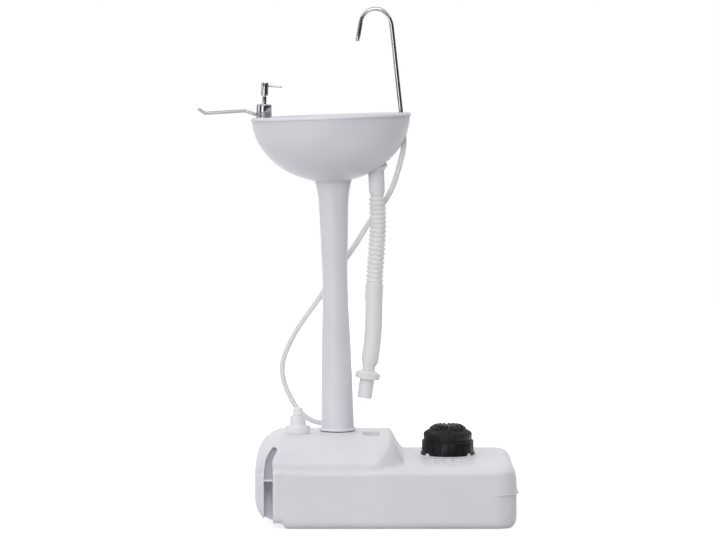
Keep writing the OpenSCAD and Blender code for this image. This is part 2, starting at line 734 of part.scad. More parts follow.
module column_sleeve() {
    color(white) at_basin() translate([0, 0, -36]) tube(sleeve_r, sleeve_r - 2.5, 66);
}

// Basin

function ellipse_ring(a, b, cx, h) = [for (j = [0 : 47]) [cx + a * cos(j * 7.5), b * sin(j * 7.5), h]];
function shroud_ring(h, wall) = let (k = sqrt(max(0.001, 1 - pow((basin_h - h) / (shroud_depth - wall), 2))))
    ellipse_ring((shroud_a - wall) * k, (shroud_b - wall) * k, 0, h);

// Ring of the bowl at angle a from its edge (0) to the well round the drain (90), grown outwards by g
function bowl_ring(a, g) = let (
    k = pow(cos(a), 2 / bowl_n),
    deep = pow(sin(a), 2 / bowl_n),
    h = deck_h - deep * (deck_h - floor_h - bowl_fall * k) - g * deep,
    cx = bowl_x + (drain_x - bowl_x) * (1 - k),
    ra = well_r + (bowl_a - well_r) * k + g,
    rb = well_r + (bowl_b - well_r) * k + g)
    [for (j = [0 : 47]) let (c = cos(j * 7.5), s = sin(j * 7.5))
        [cx + ra * sign(c) * pow(abs(c), 0.87), rb * sign(s) * pow(abs(s), 0.87),
            min(h, deck_h - (g > 1 ? basin_wall : 0))]];

module basin_bowl() {
    ch_a = rim_a - lip_t - tongue_t - 2 * tongue_gap;
    ch_b = rim_b - lip_t - tongue_t - 2 * tongue_gap;
    color(white) at_basin() difference() {
        union() {
            skin(concat(
                [for (a = [90, 84, 76, 66, 54, 42, 30, 19, 10, 4]) bowl_ring(a, basin_wall)],
                [bowl_ring(1, basin_wall),
                ellipse_ring(ch_a, ch_b, 0, deck_h - basin_wall),
                ellipse_ring(ch_a, ch_b, 0, lip_low + 4),
                ellipse_ring(rim_a - lip_t, rim_b - lip_t, 0, lip_low + 4),
                ellipse_ring(rim_a - lip_t, rim_b - lip_t, 0, lip_low),
                ellipse_ring(rim_a, rim_b, 0, lip_low),
                ellipse_ring(rim_a, rim_b, 0, basin_h - 1.8),
                ellipse_ring(rim_a - 1, rim_b - 1, 0, basin_h - 0.4),
                ellipse_ring(rim_a - 3, rim_b - 3, 0, basin_h + 0.2),
                ellipse_ring(rim_a - 7, rim_b - 7, 0, basin_h - 0.3),
                ellipse_ring(rim_a - inner_lip + 0.6, rim_b - inner_lip + 0.6, 0, basin_h - 1.8),
                ellipse_ring(rim_a - inner_lip, rim_b - inner_lip, 0, deck_h + 1.2),
                ellipse_ring(rim_a - inner_lip - 1.2, rim_b - inner_lip - 1.2, 0, deck_h)],
                [[for (p = bowl_ring(0, 1)) [bowl_x + (p[0] - bowl_x) * 1.02, p[1] * 1.02, deck_h]]],
                [for (a = [1.5, 5, 11, 19, 29, 40, 52, 63, 73, 81, 87, 90]) bowl_ring(a, 0)]));
            translate([drain_x, 0, pocket_h + basin_wall + 0.1])
                cylinder(r = drain_boss_r, h = floor_h - 1 - pocket_h - basin_wall);
            bowl_pad(-soap_x, deck_slope, pad_r);
            bowl_pad(tap_x, -deck_slope, tap_pad_r);
        }
        translate([drain_x, 0, 0]) cylinder(r = drain_tail_r + 0.8, h = floor_h + 10);
        translate([-soap_x, 0, deck_h + pad_h]) rotate([0, deck_slope, 0])
            translate([0, 0, -30]) cylinder(r = 9.8, h = 60);
        translate([tap_x, 0, deck_h + pad_h]) rotate([0, -deck_slope, 0])
            translate([0, 0, -30]) cylinder(r = 6.3, h = 60);
    }
}

module bowl_pad(x, slope, r) {
    translate([x, 0, deck_h + pad_h]) rotate([0, slope, 0]) translate([0, 0, -pad_h - basin_wall + 0.4])
        cylinder(r = r, h = pad_h + basin_wall - 0.4);
}

module basin_shroud() {
    tongue_a = rim_a - lip_t - tongue_gap;
    tongue_b = rim_b - lip_t - tongue_gap;
    low = basin_h - shroud_depth * 0.974;
    levels = [low, 7, 11, 18, 27, 38, 51, 66, 83, 101, 117, lip_low - slide_gap];
    outer = [for (h = levels) shroud_ring(h, 0)];
    color(white) at_basin() difference() {
        union() {
            skin(concat(outer,
                [ellipse_ring(tongue_a, tongue_b, 0, lip_low - slide_gap),
                ellipse_ring(tongue_a, tongue_b, 0, lip_low + 3.7),
                ellipse_ring(tongue_a - tongue_t, tongue_b - tongue_t, 0, lip_low + 3.7),
                ellipse_ring(tongue_a - tongue_t, tongue_b - tongue_t, 0, lip_low - 3)],
                [for (h = [112, 90, 70, 52, 36, 23, 14, low + basin_wall]) shroud_ring(h, basin_wall)]));
            translate([0, 0, 0.2]) cylinder(r = neck_ring_r, h = 8);
            translate([0, 0, 4]) cylinder(r = sleeve_r + 3.2, h = 28);
            intersection() {
                translate([drain_x, 0, 6]) cylinder(r = pocket_r + basin_wall, h = pocket_h + basin_wall - 6);
                skin(outer);
            }
        }
        translate([0, 0, -1]) cylinder(r = sleeve_r + 0.2, h = 60);
        translate([drain_x, 0, -5]) cylinder(r = pocket_r, h = pocket_h + 5);
        translate([drain_x, 0, 0]) cylinder(r = drain_tail_r + 0.8, h = 60);
        translate([tap_x, 0, deck_h + pad_h]) rotate([0, -deck_slope, 0])
            translate([0, 0, -115]) cylinder(r = supply_r + 4, h = 98);
    }
}

// Waste fittings, from the bowl downwards

drain_bore = drain_tail_r - 2;

module drain_seal() {
    color(dark) at_drain() translate([0, 0, floor_h]) tube(drain_flange_r - 0.5, drain_tail_r + 0.3, drain_seal_t);
}

module drain_body() {
    top = floor_h + drain_seal_t;
    low = -8;
    color(white) at_drain() difference() {
        union() {
            translate([0, 0, low]) cylinder(r = drain_tail_r, h = top - low + 1);
            translate([0, 0, top]) cylinder(r = drain_flange_r, h = 2.6);
        }
        translate([0, 0, low - 1]) cylinder(r = drain_bore, h = top - low - 14);
        translate([0, 0, top - 14]) difference() {
            cylinder(r = drain_bore, h = 20);
            translate([-20, -2.5, 0]) cube([40, 5, 6]);
            cylinder(r = 4, h = 8);
        }
        translate([0, 0, top - 16]) cylinder(r = 1.7, h = 14);
        translate([0, 0, low - 1]) cylinder(r = drain_bore - 3, h = 50);
        translate([0, 0, top + 1]) cylinder(r = drain_flange_r - 4, h = 5);
    }
}

module drain_grid() {
    grid_r = drain_flange_r - 4.3;
    color(bright) at_drain() translate([0, 0, floor_h + drain_seal_t + 1]) difference() {
        cylinder(r = grid_r, h = 1.4);
        translate([0, 0, -1]) cylinder(r = 1.8, h = 5);
        for (i = [0 : 5]) rotate([0, 0, i * 60]) translate([5.5, 0, -1]) cylinder(r = 1.5, h = 5, $fn = 16);
        for (i = [0 : 11]) rotate([0, 0, i * 30]) translate([10.5, 0, -1]) cylinder(r = 1.7, h = 5, $fn = 16);
    }
}

module drain_screw() {
    color(bright) at_drain() translate([0, 0, floor_h + drain_seal_t + 2.4]) {
        cylinder(r = 3.6, h = 1.2);
        translate([0, 0, -12]) cylinder(r = 1.6, h = 12.2);
    }
}

module drain_lower_seal() {
    color(dark) at_drain() translate([0, 0, pocket_h - 1.8]) tube(drain_nut_r - 1.5, drain_tail_r + 0.3, 1.8);
}

nut_top = pocket_h - 1.8;
nut_low = nut_top - 14;

module drain_nut() {
    color(pale) at_drain() difference() {
        union() {
            translate([0, 0, nut_top - 8]) cylinder(r = drain_nut_r, h = 8);
            translate([0, 0, nut_low]) cylinder(r1 = cuff_r + 1.5, r2 = drain_nut_r - 1.5, h = 6.1);
        }
        translate([0, 0, nut_low - 1]) cylinder(r = drain_tail_r + 0.1, h = 30);
    }
}

module drain_cuff() {
    color(pale) at_drain() translate([0, 0, nut_low - cuff_l - 0.2]) difference() {
        union() {
            translate([0, 0, 5]) cylinder(r = cuff_r, h = cuff_l - 5);
            cylinder(r = cuff_r - 1.5, h = 6);
        }
        translate([0, 0, -1]) cylinder(r = drain_tail_r + 0.2, h = cuff_l + 2);
    }
}

// The waste hose: a plain neck in the cuff, the ribs, then a smooth stretch that closes onto its neck

waste_curve = smooth_route(waste_route, 5);
waste_l = run_to(waste_curve, len(waste_curve) - 1);
ribs_from = 17;
ribs_to = 190;
rib_pitch = (ribs_to - ribs_from) / rib_count;
waste_stops = concat([[0, drain_tail_r - 0.4], [ribs_from - 1, drain_tail_r - 0.4]],
    [for (i = [0 : rib_count - 1]) each [[ribs_from + (i + 0.12) * rib_pitch, rib_valley_r],
        [ribs_from + (i + 0.6) * rib_pitch, rib_r]]],
    [[ribs_to + 1, rib_valley_r], [ribs_to + 4, smooth_r], [ribs_to + 50, smooth_r], [ribs_to + 95, smooth_r],
    [ribs_to + 130, smooth_r], [waste_l - 21, smooth_r], [waste_l - 13, smooth_r - 1.8], [waste_l - 5, 12.8],
    [waste_l, 12.8]]);

function waste_ring(s, r) = ring_at(point_at(waste_curve, s),
    unit(point_at(waste_curve, min(waste_l, s + 8)) - point_at(waste_curve, max(0, s - 8))), r, 12, [0, 1, 0]);

module drain_hose() {
    bore_stops = [waste_l, waste_l - 30, ribs_to + 90, ribs_to + 50, ribs_to + 10, 150, 110, 75, 40, 0];
    color(pale) skin(concat([for (p = waste_stops) waste_ring(p[0], p[1])],
        [for (s = bore_stops) waste_ring(s, hose_bore_r)]), closed = true);
}

module hose_end_nut() {
    color(pale) at_hose_end() translate([0, 0, 0.3]) difference() {
        rotate_extrude() polygon([[0, 0], [13, 0], [end_nut_r - 2, 4.5], [end_nut_r, 6], [end_nut_r, end_nut_l - 1],
            [end_nut_r - 1, end_nut_l], [0, end_nut_l]]);
        translate([0, 0, -1]) cylinder(r = hose_bore_r, h = 40);
        translate([0, 0, end_nut_l - 6]) cylinder(r = nozzle_r + 1.2, h = 10);
    }
}

module drain_nozzle() {
    flange_t = 2.5;
    color(pale) at_hose_end() translate([0, 0, end_nut_l - 5.7]) difference() {
        union() {
            cylinder(r = nozzle_r + 1, h = flange_t);
            cylinder(r = nozzle_r, h = nozzle_l + 5.7);
        }
        translate([0, 0, -1]) cylinder(r = hose_bore_r, h = nozzle_l + 10);
    }
}

// Tap

// Bends of the gooseneck: radius and angle of each, then the straight end
bends = [[50, 32], [28, 101], [40, 31]];
spout_tail = 36;

// Points of the bend i, which starts at p with the heading a, then those of the bends after it
function bend_points(p, a, i) = i == len(bends) ? [p + spout_tail * [-sin(a), 0, cos(a)]]
    : let (r = bends[i][0], c = p - r * [cos(a), 0, sin(a)], n = round(bends[i][1] / 9), step = bends[i][1] / n,
        pts = [for (k = [1 : n]) c + r * [cos(a + k * step), 0, sin(a + k * step)]])
        concat(pts, bend_points(pts[n - 1], a + bends[i][1], i + 1));

spout_points = concat([[0, 0, -5], [0, 0, spout_h]], bend_points([0, 0, spout_h], 0, 0));

module tap_spout() {
    n = len(spout_points) - 1;
    color(bright) at_tap() skin(concat(
        [for (i = [0 : n]) ring_at(spout_points[i], heading(spout_points, i), spout_r, 12, [0, 1, 0])],
        [for (i = [n : -1 : 0]) ring_at(spout_points[i], heading(spout_points, i), spout_r - spout_wall, 12, [0, 1, 0])]),
        closed = true);
}

module tap_flange() {
    color(bright) at_tap() difference() {
        rotate_extrude() polygon([[0, 0.1], [tap_flange_r, 0.1], [tap_flange_r, 1.8], [tap_flange_r - 2, 3.6],
            [spout_r + 1.4, 4.4], [0, 4.4]]);
        translate([0, 0, -1]) cylinder(r = 6.05, h = 3.2);
        translate([0, 0, -1]) cylinder(r = spout_r + slide_gap, h = 10);
    }
}

module tap_shank() {
    low = -29.5;
    color(bright) at_tap() difference() {
        translate([0, 0, low]) cylinder(r = 6, h = 2 - low);
        translate([0, 0, low - 1]) cylinder(r = spout_r - spout_wall, h = 40);
        translate([0, 0, -5.3]) cylinder(r = spout_r + running_gap, h = 20);
        translate([0, 0, -3.6]) cylinder(r = 5.3, h = 1.4);
    }
}

module tap_oring() {
    color(dark) at_tap() translate([0, 0, -3.5]) tube(5.25, spout_r + running_gap, 1.2);
}

module tap_washer() {
    color(dark) at_tap() translate([0, 0, -pad_h - basin_wall - 2.3]) tube(9.5, 6.2, 1.3);
}

module tap_locknut() {
    color(bright) at_tap() translate([0, 0, -pad_h - basin_wall - 7.4]) difference() {
        cylinder(r = 9.2, h = 5, $fn = 6);
        translate([0, 0, -1]) cylinder(r = 6.05, h = 10);
    }
}

module tap_hose_nut() {
    color(pale) at_tap() translate([0, 0, -38]) difference() {
        cylinder(r = 7.6, h = 16);
        translate([0, 0, -1]) cylinder(r = 6.05, h = 20);
    }
}

supply_curve = smooth_route(supply_route, 2);

module supply_hose() {
    color(clear) swept(supply_curve, supply_r, 8, [0, 1, 0]);
}

// Soap dispenser, from the deck up, then the parts below

ring_from = 8.3;
ring_h = 7;
collar_from = ring_from + ring_h + slide_gap;
collar_top = 33;
hub_r = 9.5;
neck_hub_r = 8;
hub_low = -22;
guide_r = 4.5;
stem_r = 2.5;
guide_top = 48;
head_from = 49.5;

module soap_base() {
    color(bright) at_soap() difference() {
        union() {
            cylinder(r = collar_r, h = ring_from - slide_gap);
            translate([0, 0, -11.8]) cylinder(r = hub_r, h = 11.8 + 19.5);
            translate([0, 0, hub_low]) cylinder(r = neck_hub_r, h = -hub_low);
        }
        translate([0, 0, hub_low + 1.5]) cylinder(r = 6, h = 60);
        translate([0, 0, hub_low - 1]) cylinder(r = 2.05, h = 10);
    }
}

module soap_collar() {
    color(bright) at_soap() difference() {
        rotate_extrude() polygon([[0, collar_from], [collar_r - 0.4, collar_from], [collar_r, collar_from + 1],
            [collar_r, collar_top - 2.5], [collar_r - 2, collar_top - 0.5], [collar_r - 3, collar_top], [0, collar_top]]);
        translate([0, 0, collar_from - 1]) cylinder(r = hub_r + 0.05, h = 21 - collar_from);
        translate([0, 0, collar_from]) cylinder(r = 6.8, h = 26.5 - collar_from);
        translate([0, 0, collar_from]) cylinder(r = guide_r + slide_gap, h = 40);
    }
}

module soap_guide() {
    color(bright) at_soap() difference() {
        union() {
            translate([0, 0, 20]) cylinder(r = guide_r, h = guide_top - 20);
            translate([0, 0, 20]) cylinder(r = 6.5, h = 6.2);
        }
        translate([0, 0, 19]) cylinder(r = stem_r + running_gap, h = 40);
    }
}

module soap_head() {
    top = head_from + soap_head_l;
    color(bright) at_soap() difference() {
        rotate_extrude() polygon([[0, head_from], [soap_head_r, head_from], [soap_head_r, top - 1.5],
            [soap_head_r - 1.5, top], [0, top]]);
        translate([0, 0, head_from - 1]) cylinder(r = guide_r + slide_gap, h = soap_travel + 2.5);
        translate([0, 0, head_from - 1]) cylinder(r = stem_r, h = soap_head_l - 7);
        translate([0, 0, top - 6]) rotate([0, 93, 0]) cylinder(r = 2, h = 20);
    }
}

module soap_nozzle() {
    color(bright) at_soap() translate([0, 0, head_from + soap_head_l - 6]) rotate([0, 93, 0]) difference() {
        union() {
            translate([0, 0, 3.5]) cylinder(r = 1.95, h = soap_head_r - 3.3);
            translate([0, 0, soap_head_r + 0.2]) cylinder(r1 = 2.5, r2 = 1.6, h = soap_reach - soap_head_r - 3);
            translate([0, 0, soap_reach - 3]) cylinder(r = 2.1, h = 3);
        }
        translate([0, 0, 2]) cylinder(r = 0.9, h = 60);
    }
}

module soap_stem() {
    color(bright) at_soap() translate([0, 0, 2]) tube(stem_r, 1.4, head_from + soap_head_l - 8.2 - 2);
}

module soap_piston() {
    color(dark) at_soap() translate([0, 0, 2]) tube(6 - running_gap, stem_r, 4);
}

module soap_spring() {
    turns = 5;
    steps = 8;
    wire = 0.6;
    low = hub_low + 1.5 + wire;
    rise = 2 - 0.1 - wire - low;
    coil = [for (i = [0 : turns * steps])
        [4.4 * cos(i * 360 / steps), 4.4 * sin(i * 360 / steps), low + rise * i / (turns * steps)]];
    color(bright) at_soap() swept(coil, wire, 6, [0, 0, 1]);
}

module soap_locknut() {
    color(pale) at_soap() translate([0, 0, -pad_h - basin_wall - 6.9]) tube(13.5, hub_r + 0.05, 5.5);
}

module soap_bottle() {
    tall = 21;
    side = 3.2;
    r = 12.4;
    color(clear) at_soap() translate([side, 0, -12 - tall]) difference() {
        union() {
            for (y = [-22, 22]) translate([0, y, 0]) cylinder(r = r, h = tall);
            translate([-r - 0.1, -22, 0]) cube([2 * r + 0.2, 44, tall]);
        }
        for (y = [-22, 22]) translate([0, y, 1.5]) cylinder(r = r - 1.5, h = tall - 3);
        translate([-r + 1.4, -22, 1.5]) cube([2 * r - 2.8, 44, tall - 3]);
        translate([-side, 0, tall - 10]) cylinder(r = neck_hub_r + 0.05, h = 20);
    }
}

module soap_dip_tube() {
    color(clear) at_soap() translate([0, 0, hub_low - 9]) tube(2, 1.2, 10.3);
}

// Towel bar, on a ring between the soap dispenser's base and collar

module towel_bar() {
    mid = ring_from + ring_h / 2;
    path = [[-14, 0], [-17, 0], [-21, 0.8], [-36, 5], [-39.5, 5.6], [-44, 5.3], [-bar_l + 4, -1.4],
        [-bar_l, -1.5], [-bar_l - 3.5, 0], [-bar_l - 13, 5.6]];
    color(bright) at_soap() difference() {
        union() {
            translate([0, 0, ring_from]) cylinder(r = collar_r, h = ring_h);
            swept([for (p = path) [p[0], 0, mid + p[1]]], bar_r, 12, [0, 1, 0]);
        }
        translate([0, 0, ring_from - 1]) cylinder(r = hub_r + slide_gap, h = ring_h + 2);
    }
}

tank_shell();
fill_cap();
fill_gasket();
vent_stub();
outlet_elbow();
elbow_gasket();
tank_hose_nut();
riser_tube();
pump_housing();
pump_gasket();
pump_retainer();
pump_tread();
pump_rod();
pump_piston();
piston_seal();
pump_spring();
pump_cylinder();
intake_valve();
intake_tube();
intake_strainer();
outlet_port();
column();
column_collar();
column_sleeve();
basin_bowl();
basin_shroud();
drain_body();
drain_grid();
drain_screw();
drain_seal();
drain_lower_seal();
drain_nut();
drain_cuff();
drain_hose();
hose_end_nut();
drain_nozzle();
tap_spout();
tap_flange();
tap_shank();
tap_oring();
tap_washer();
tap_locknut();
tap_hose_nut();
supply_hose();
soap_base();
soap_collar();
soap_guide();
soap_head();
soap_nozzle();
soap_stem();
soap_piston();
soap_spring();
soap_locknut();
soap_bottle();
soap_dip_tube();
towel_bar();
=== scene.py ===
# Portable wash basin: its mouldings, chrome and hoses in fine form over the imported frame. Lengths are in
# millimetres until a piece is made, and stand in the frames that the CAD source gives its pieces.
import math

import bmesh
import bpy
from mathutils import Matrix, Vector


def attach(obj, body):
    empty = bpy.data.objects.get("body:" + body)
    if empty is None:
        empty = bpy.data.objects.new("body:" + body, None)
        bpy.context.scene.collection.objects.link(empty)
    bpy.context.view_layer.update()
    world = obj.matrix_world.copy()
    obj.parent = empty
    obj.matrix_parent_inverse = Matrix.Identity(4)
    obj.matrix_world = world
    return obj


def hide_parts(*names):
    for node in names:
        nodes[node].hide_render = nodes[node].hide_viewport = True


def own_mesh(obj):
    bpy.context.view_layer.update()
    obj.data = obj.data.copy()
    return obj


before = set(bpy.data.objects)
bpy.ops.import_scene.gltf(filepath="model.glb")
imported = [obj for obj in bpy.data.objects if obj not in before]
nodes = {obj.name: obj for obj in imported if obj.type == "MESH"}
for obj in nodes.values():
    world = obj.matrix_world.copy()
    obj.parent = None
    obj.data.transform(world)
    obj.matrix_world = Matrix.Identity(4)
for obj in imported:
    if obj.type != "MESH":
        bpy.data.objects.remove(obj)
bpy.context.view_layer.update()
MM = 0.001


# Camera: far off, a little above the basin's rim and aimed slightly down

def set_camera():
    tilt_down = 3.68
    data = bpy.data.cameras.new("studio_camera")
    data.sensor_width = 36
    data.lens = 152.9
    camera = bpy.data.objects.new("studio_camera", data)
    camera.location = (-0.055, -6.114, 0.897)
    camera.rotation_euler = (math.radians(90 - tilt_down), 0, 0)
    bpy.context.scene.collection.objects.link(camera)
    bpy.context.scene.camera = camera


# Colours and shader nodes

def srgb(code):
    """Linear colour of an sRGB hex code."""
    parts = [int(code[i:i + 2], 16) / 255 for i in (0, 2, 4)]
    return tuple(p / 12.92 if p <= 0.04045 else ((p + 0.055) / 1.055) ** 2.4 for p in parts) + (1.0,)


def add(tree, kind, inputs=None, **settings):
    """Adds a shader node; each input takes a value or another node's output."""
    made = tree.nodes.new(kind)
    for name, value in settings.items():
        setattr(made, name, value)
    for name, value in (inputs or {}).items():
        if isinstance(value, bpy.types.NodeSocket):
            tree.links.new(value, made.inputs[name])
        else:
            made.inputs[name].default_value = value
    return made


def grain(tree, size_mm, detail=2.0, rough=0.5):
    """Noise whose grains are about size_mm across."""
    at = add(tree, "ShaderNodeTexCoord").outputs["Object"]
    return add(tree, "ShaderNodeTexNoise",
               {"Vector": at, "Scale": 1000 / size_mm, "Detail": detail, "Roughness": rough}).outputs["Fac"]


def blank(name):
    """New material, with its node tree and its surface shader."""
    material = bpy.data.materials.new(name)
    material.use_nodes = True
    return material, material.node_tree, material.node_tree.nodes["Principled BSDF"]


def moulded(name, light, shade, blotch_mm, peel_mm, peel_depth_mm, roughness, spread=0.06, **sockets):
    """Moulded polymer: a soft blotch of colour from light to shade, an orange-peel bump and uneven gloss."""
    material, tree, surface = blank(name)
    blotch = add(tree, "ShaderNodeMapRange", {"Value": grain(tree, blotch_mm, 3.0),
                                             "From Min": 0.35, "From Max": 0.65}).outputs["Result"]
    tint = add(tree, "ShaderNodeMix", {"Factor": blotch, "A": srgb(light), "B": srgb(shade)}, data_type="RGBA")
    gloss = add(tree, "ShaderNodeMapRange", {"Value": grain(tree, peel_mm * 6), "To Min": roughness - spread,
                                            "To Max": roughness + spread}).outputs["Result"]
    bump = add(tree, "ShaderNodeBump", {"Height": grain(tree, peel_mm), "Strength": 0.5,
                                       "Distance": peel_depth_mm * MM}).outputs["Normal"]
    tree.links.new(tint.outputs["Result"], surface.inputs["Base Color"])
    tree.links.new(gloss, surface.inputs["Roughness"])
    tree.links.new(bump, surface.inputs["Normal"])
    for socket, value in sockets.items():
        surface.inputs[socket.replace("_", " ")].default_value = value
    return material


def plated(name, colour, roughness, streak_mm):
    """Polished plating: a mirror with faint wipe marks in its gloss."""
    material, tree, surface = blank(name)
    surface.inputs["Base Color"].default_value = srgb(colour)
    surface.inputs["Metallic"].default_value = 1.0
    wipe = add(tree, "ShaderNodeMapRange", {"Value": grain(tree, streak_mm, 4.0), "To Min": roughness * 0.6,
                                           "To Max": roughness * 1.6}).outputs["Result"]
    tree.links.new(wipe, surface.inputs["Roughness"])
    return material


# Blow-moulded HDPE: a satin white skin with a wide, shallow peel of about 5 mm and slight milkiness
hdpe = moulded("blow_moulded_hdpe", "EEEDF3", "E9E8EF", 120, 5, 0.1, 0.42, IOR=1.54,
               Subsurface_Weight=0.1, Subsurface_Radius=(0.004, 0.004, 0.004))
# Injection-moulded polypropylene: a finer, whiter skin on caps, nuts and cuffs
polypropylene = moulded("injection_moulded_pp", "F9F9FB", "F4F4F7", 60, 2, 0.04, 0.34, IOR=1.49,
                        Subsurface_Weight=0.08, Subsurface_Radius=(0.003, 0.003, 0.003))
# Flexible white PVC of the waste hose: waxy, with a dull gloss
white_pvc = moulded("flexible_white_pvc", "F9F9F9", "F4F4F5", 40, 3, 0.05, 0.42, IOR=1.53,
                    Subsurface_Weight=0.12, Subsurface_Radius=(0.004, 0.004, 0.004))
# Extruded translucent PVC of the supply hose: milky, so the eye sees a pale line and not a clear one
milky_pvc = moulded("translucent_pvc", "F6F6F7", "F0F0F2", 50, 2, 0.01, 0.3, IOR=1.53,
                    Subsurface_Weight=0.3, Subsurface_Radius=(0.003, 0.003, 0.003))
# Black ABS of the foot pump: a spark-eroded grain of half a millimetre, drawn at 1 mm so that it shows
black_abs = moulded("spark_grained_abs", "0B0A11", "0E0D15", 30, 1, 0.05, 0.42, IOR=1.54, Specular_IOR_Level=0.3)
# Moulded nitrile rubber of seals, valves and gaskets
nitrile = moulded("nitrile_rubber", "1B1B1B", "222222", 20, 1.5, 0.03, 0.6, IOR=1.52)
# Bright chrome over brass and ABS
chrome = plated("bright_chrome", "BCBEC1", 0.11, 14)
# Satin nickel-chrome of the towel bar: brushed before plating, so it shows a soft grey and no stripes
satin_chrome = plated("satin_chrome", "A9A9A8", 0.34, 6)
# Cold-drawn steel wire and rod, duller than chrome
drawn_steel = plated("drawn_steel", "A9A9AC", 0.3, 4)


# Places on the tank in millimetres, the angles of the lugs round its pump in degrees, and the frames of the
# pump, cap, column, basin and fittings in metres

def turned(axis, degrees):
    return Matrix.Rotation(math.radians(degrees), 4, axis)


def moved(x, y, z):
    return Matrix.Translation((x * MM, y * MM, z * MM))


COLUMN_X, COLUMN_SEAT = -96, 178.5
PUMP_X, PUMP_Y, PUMP_SEAT = 127.5, 40, 127.5
CAP_X, CAP_Y = -176, -30
PUMP_LUGS = (40, 140, 220, 320)

HOME = Matrix.Identity(4)
PUMP = moved(PUMP_X, PUMP_Y, PUMP_SEAT)
CAP = moved(CAP_X, CAP_Y, 177)
FOOT = moved(COLUMN_X, 0, COLUMN_SEAT)
COLUMN = FOOT @ turned("Y", -1)
BASIN = moved(-104.752, 0, 679.924) @ turned("Y", -2.1)
DRAIN = BASIN @ moved(87, 0, 0)
TAP = BASIN @ moved(141.6, 0, 130) @ turned("Y", -4.1)
SOAP = BASIN @ moved(-134.9, 0, 130) @ turned("Y", 4.1)
HOSE_END = moved(-33.9, 0, 302) @ turned("Y", 8) @ turned("X", 180)


# Curves and rings

def through(route, parts):
    """Smooth curve through the points of a route, with parts stretches for each of its own."""
    curve = []
    last = len(route) - 1
    for i in range(last):
        a, b, c, d = (Vector(route[min(max(k, 0), last)]) for k in (i - 1, i, i + 1, i + 2))
        for k in range(parts):
            t = k / parts
            curve.append(0.5 * (2 * b + (c - a) * t + (2 * a - 5 * b + 4 * c - d) * t * t
                                + (3 * b - a - 3 * c + d) * t ** 3))
    return curve + [Vector(route[last])]


def lengths(curve):
    """Distance from the start to each point of a curve."""
    run = [0.0]
    for a, b in zip(curve, curve[1:]):
        run.append(run[-1] + (b - a).length)
    return run


def at(curve, run, s):
    """Point at distance s along a curve."""
    i = next((k for k in range(1, len(run)) if run[k] >= s), len(run) - 1)
    return curve[i - 1].lerp(curve[i], (s - run[i - 1]) / (run[i] - run[i - 1]))


def around(count):
    """Cosine and sine at each of count even steps round a turn."""
    turns = [2 * math.pi * j / count for j in range(count)]
    return [(math.cos(t), math.sin(t)) for t in turns]


def hoop(centre, direction, radius, sides):
    """Ring of points square to a direction, its first side turned from the Y axis."""
    d = Vector(direction).normalized()
    u = Vector((0, 1, 0)).cross(d).normalized()
    v = d.cross(u)
    return [Vector(centre) + radius * (c * u + s * v) for c, s in around(sides)]


def headings(curve):
    last = len(curve) - 1
    return [(curve[min(i + 1, last)] - curve[max(i - 1, 0)]).normalized() for i in range(last + 1)]


def filleted(profile, steps=4):
    """Profile of (r, z) points, in which a third number rounds the corner with that radius."""
    out = []
    count = len(profile)
    for i, corner in enumerate(profile):
        p = Vector(corner[:2])
        if len(corner) < 3:
            out.append(p)
            continue
        a = Vector(profile[(i - 1) % count][:2]) - p
        b = Vector(profile[(i + 1) % count][:2]) - p
        half = a.angle(b) / 2
        reach = min(corner[2] / math.tan(half), 0.45 * a.length, 0.45 * b.length)
        start, end = p + a.normalized() * reach, p + b.normalized() * reach
        for k in range(steps + 1):
            t = k / steps
            out.append((1 - t) ** 2 * start + 2 * t * (1 - t) * p + t * t * end)
    return out


# Solid shapes, gathered into one mesh for each piece

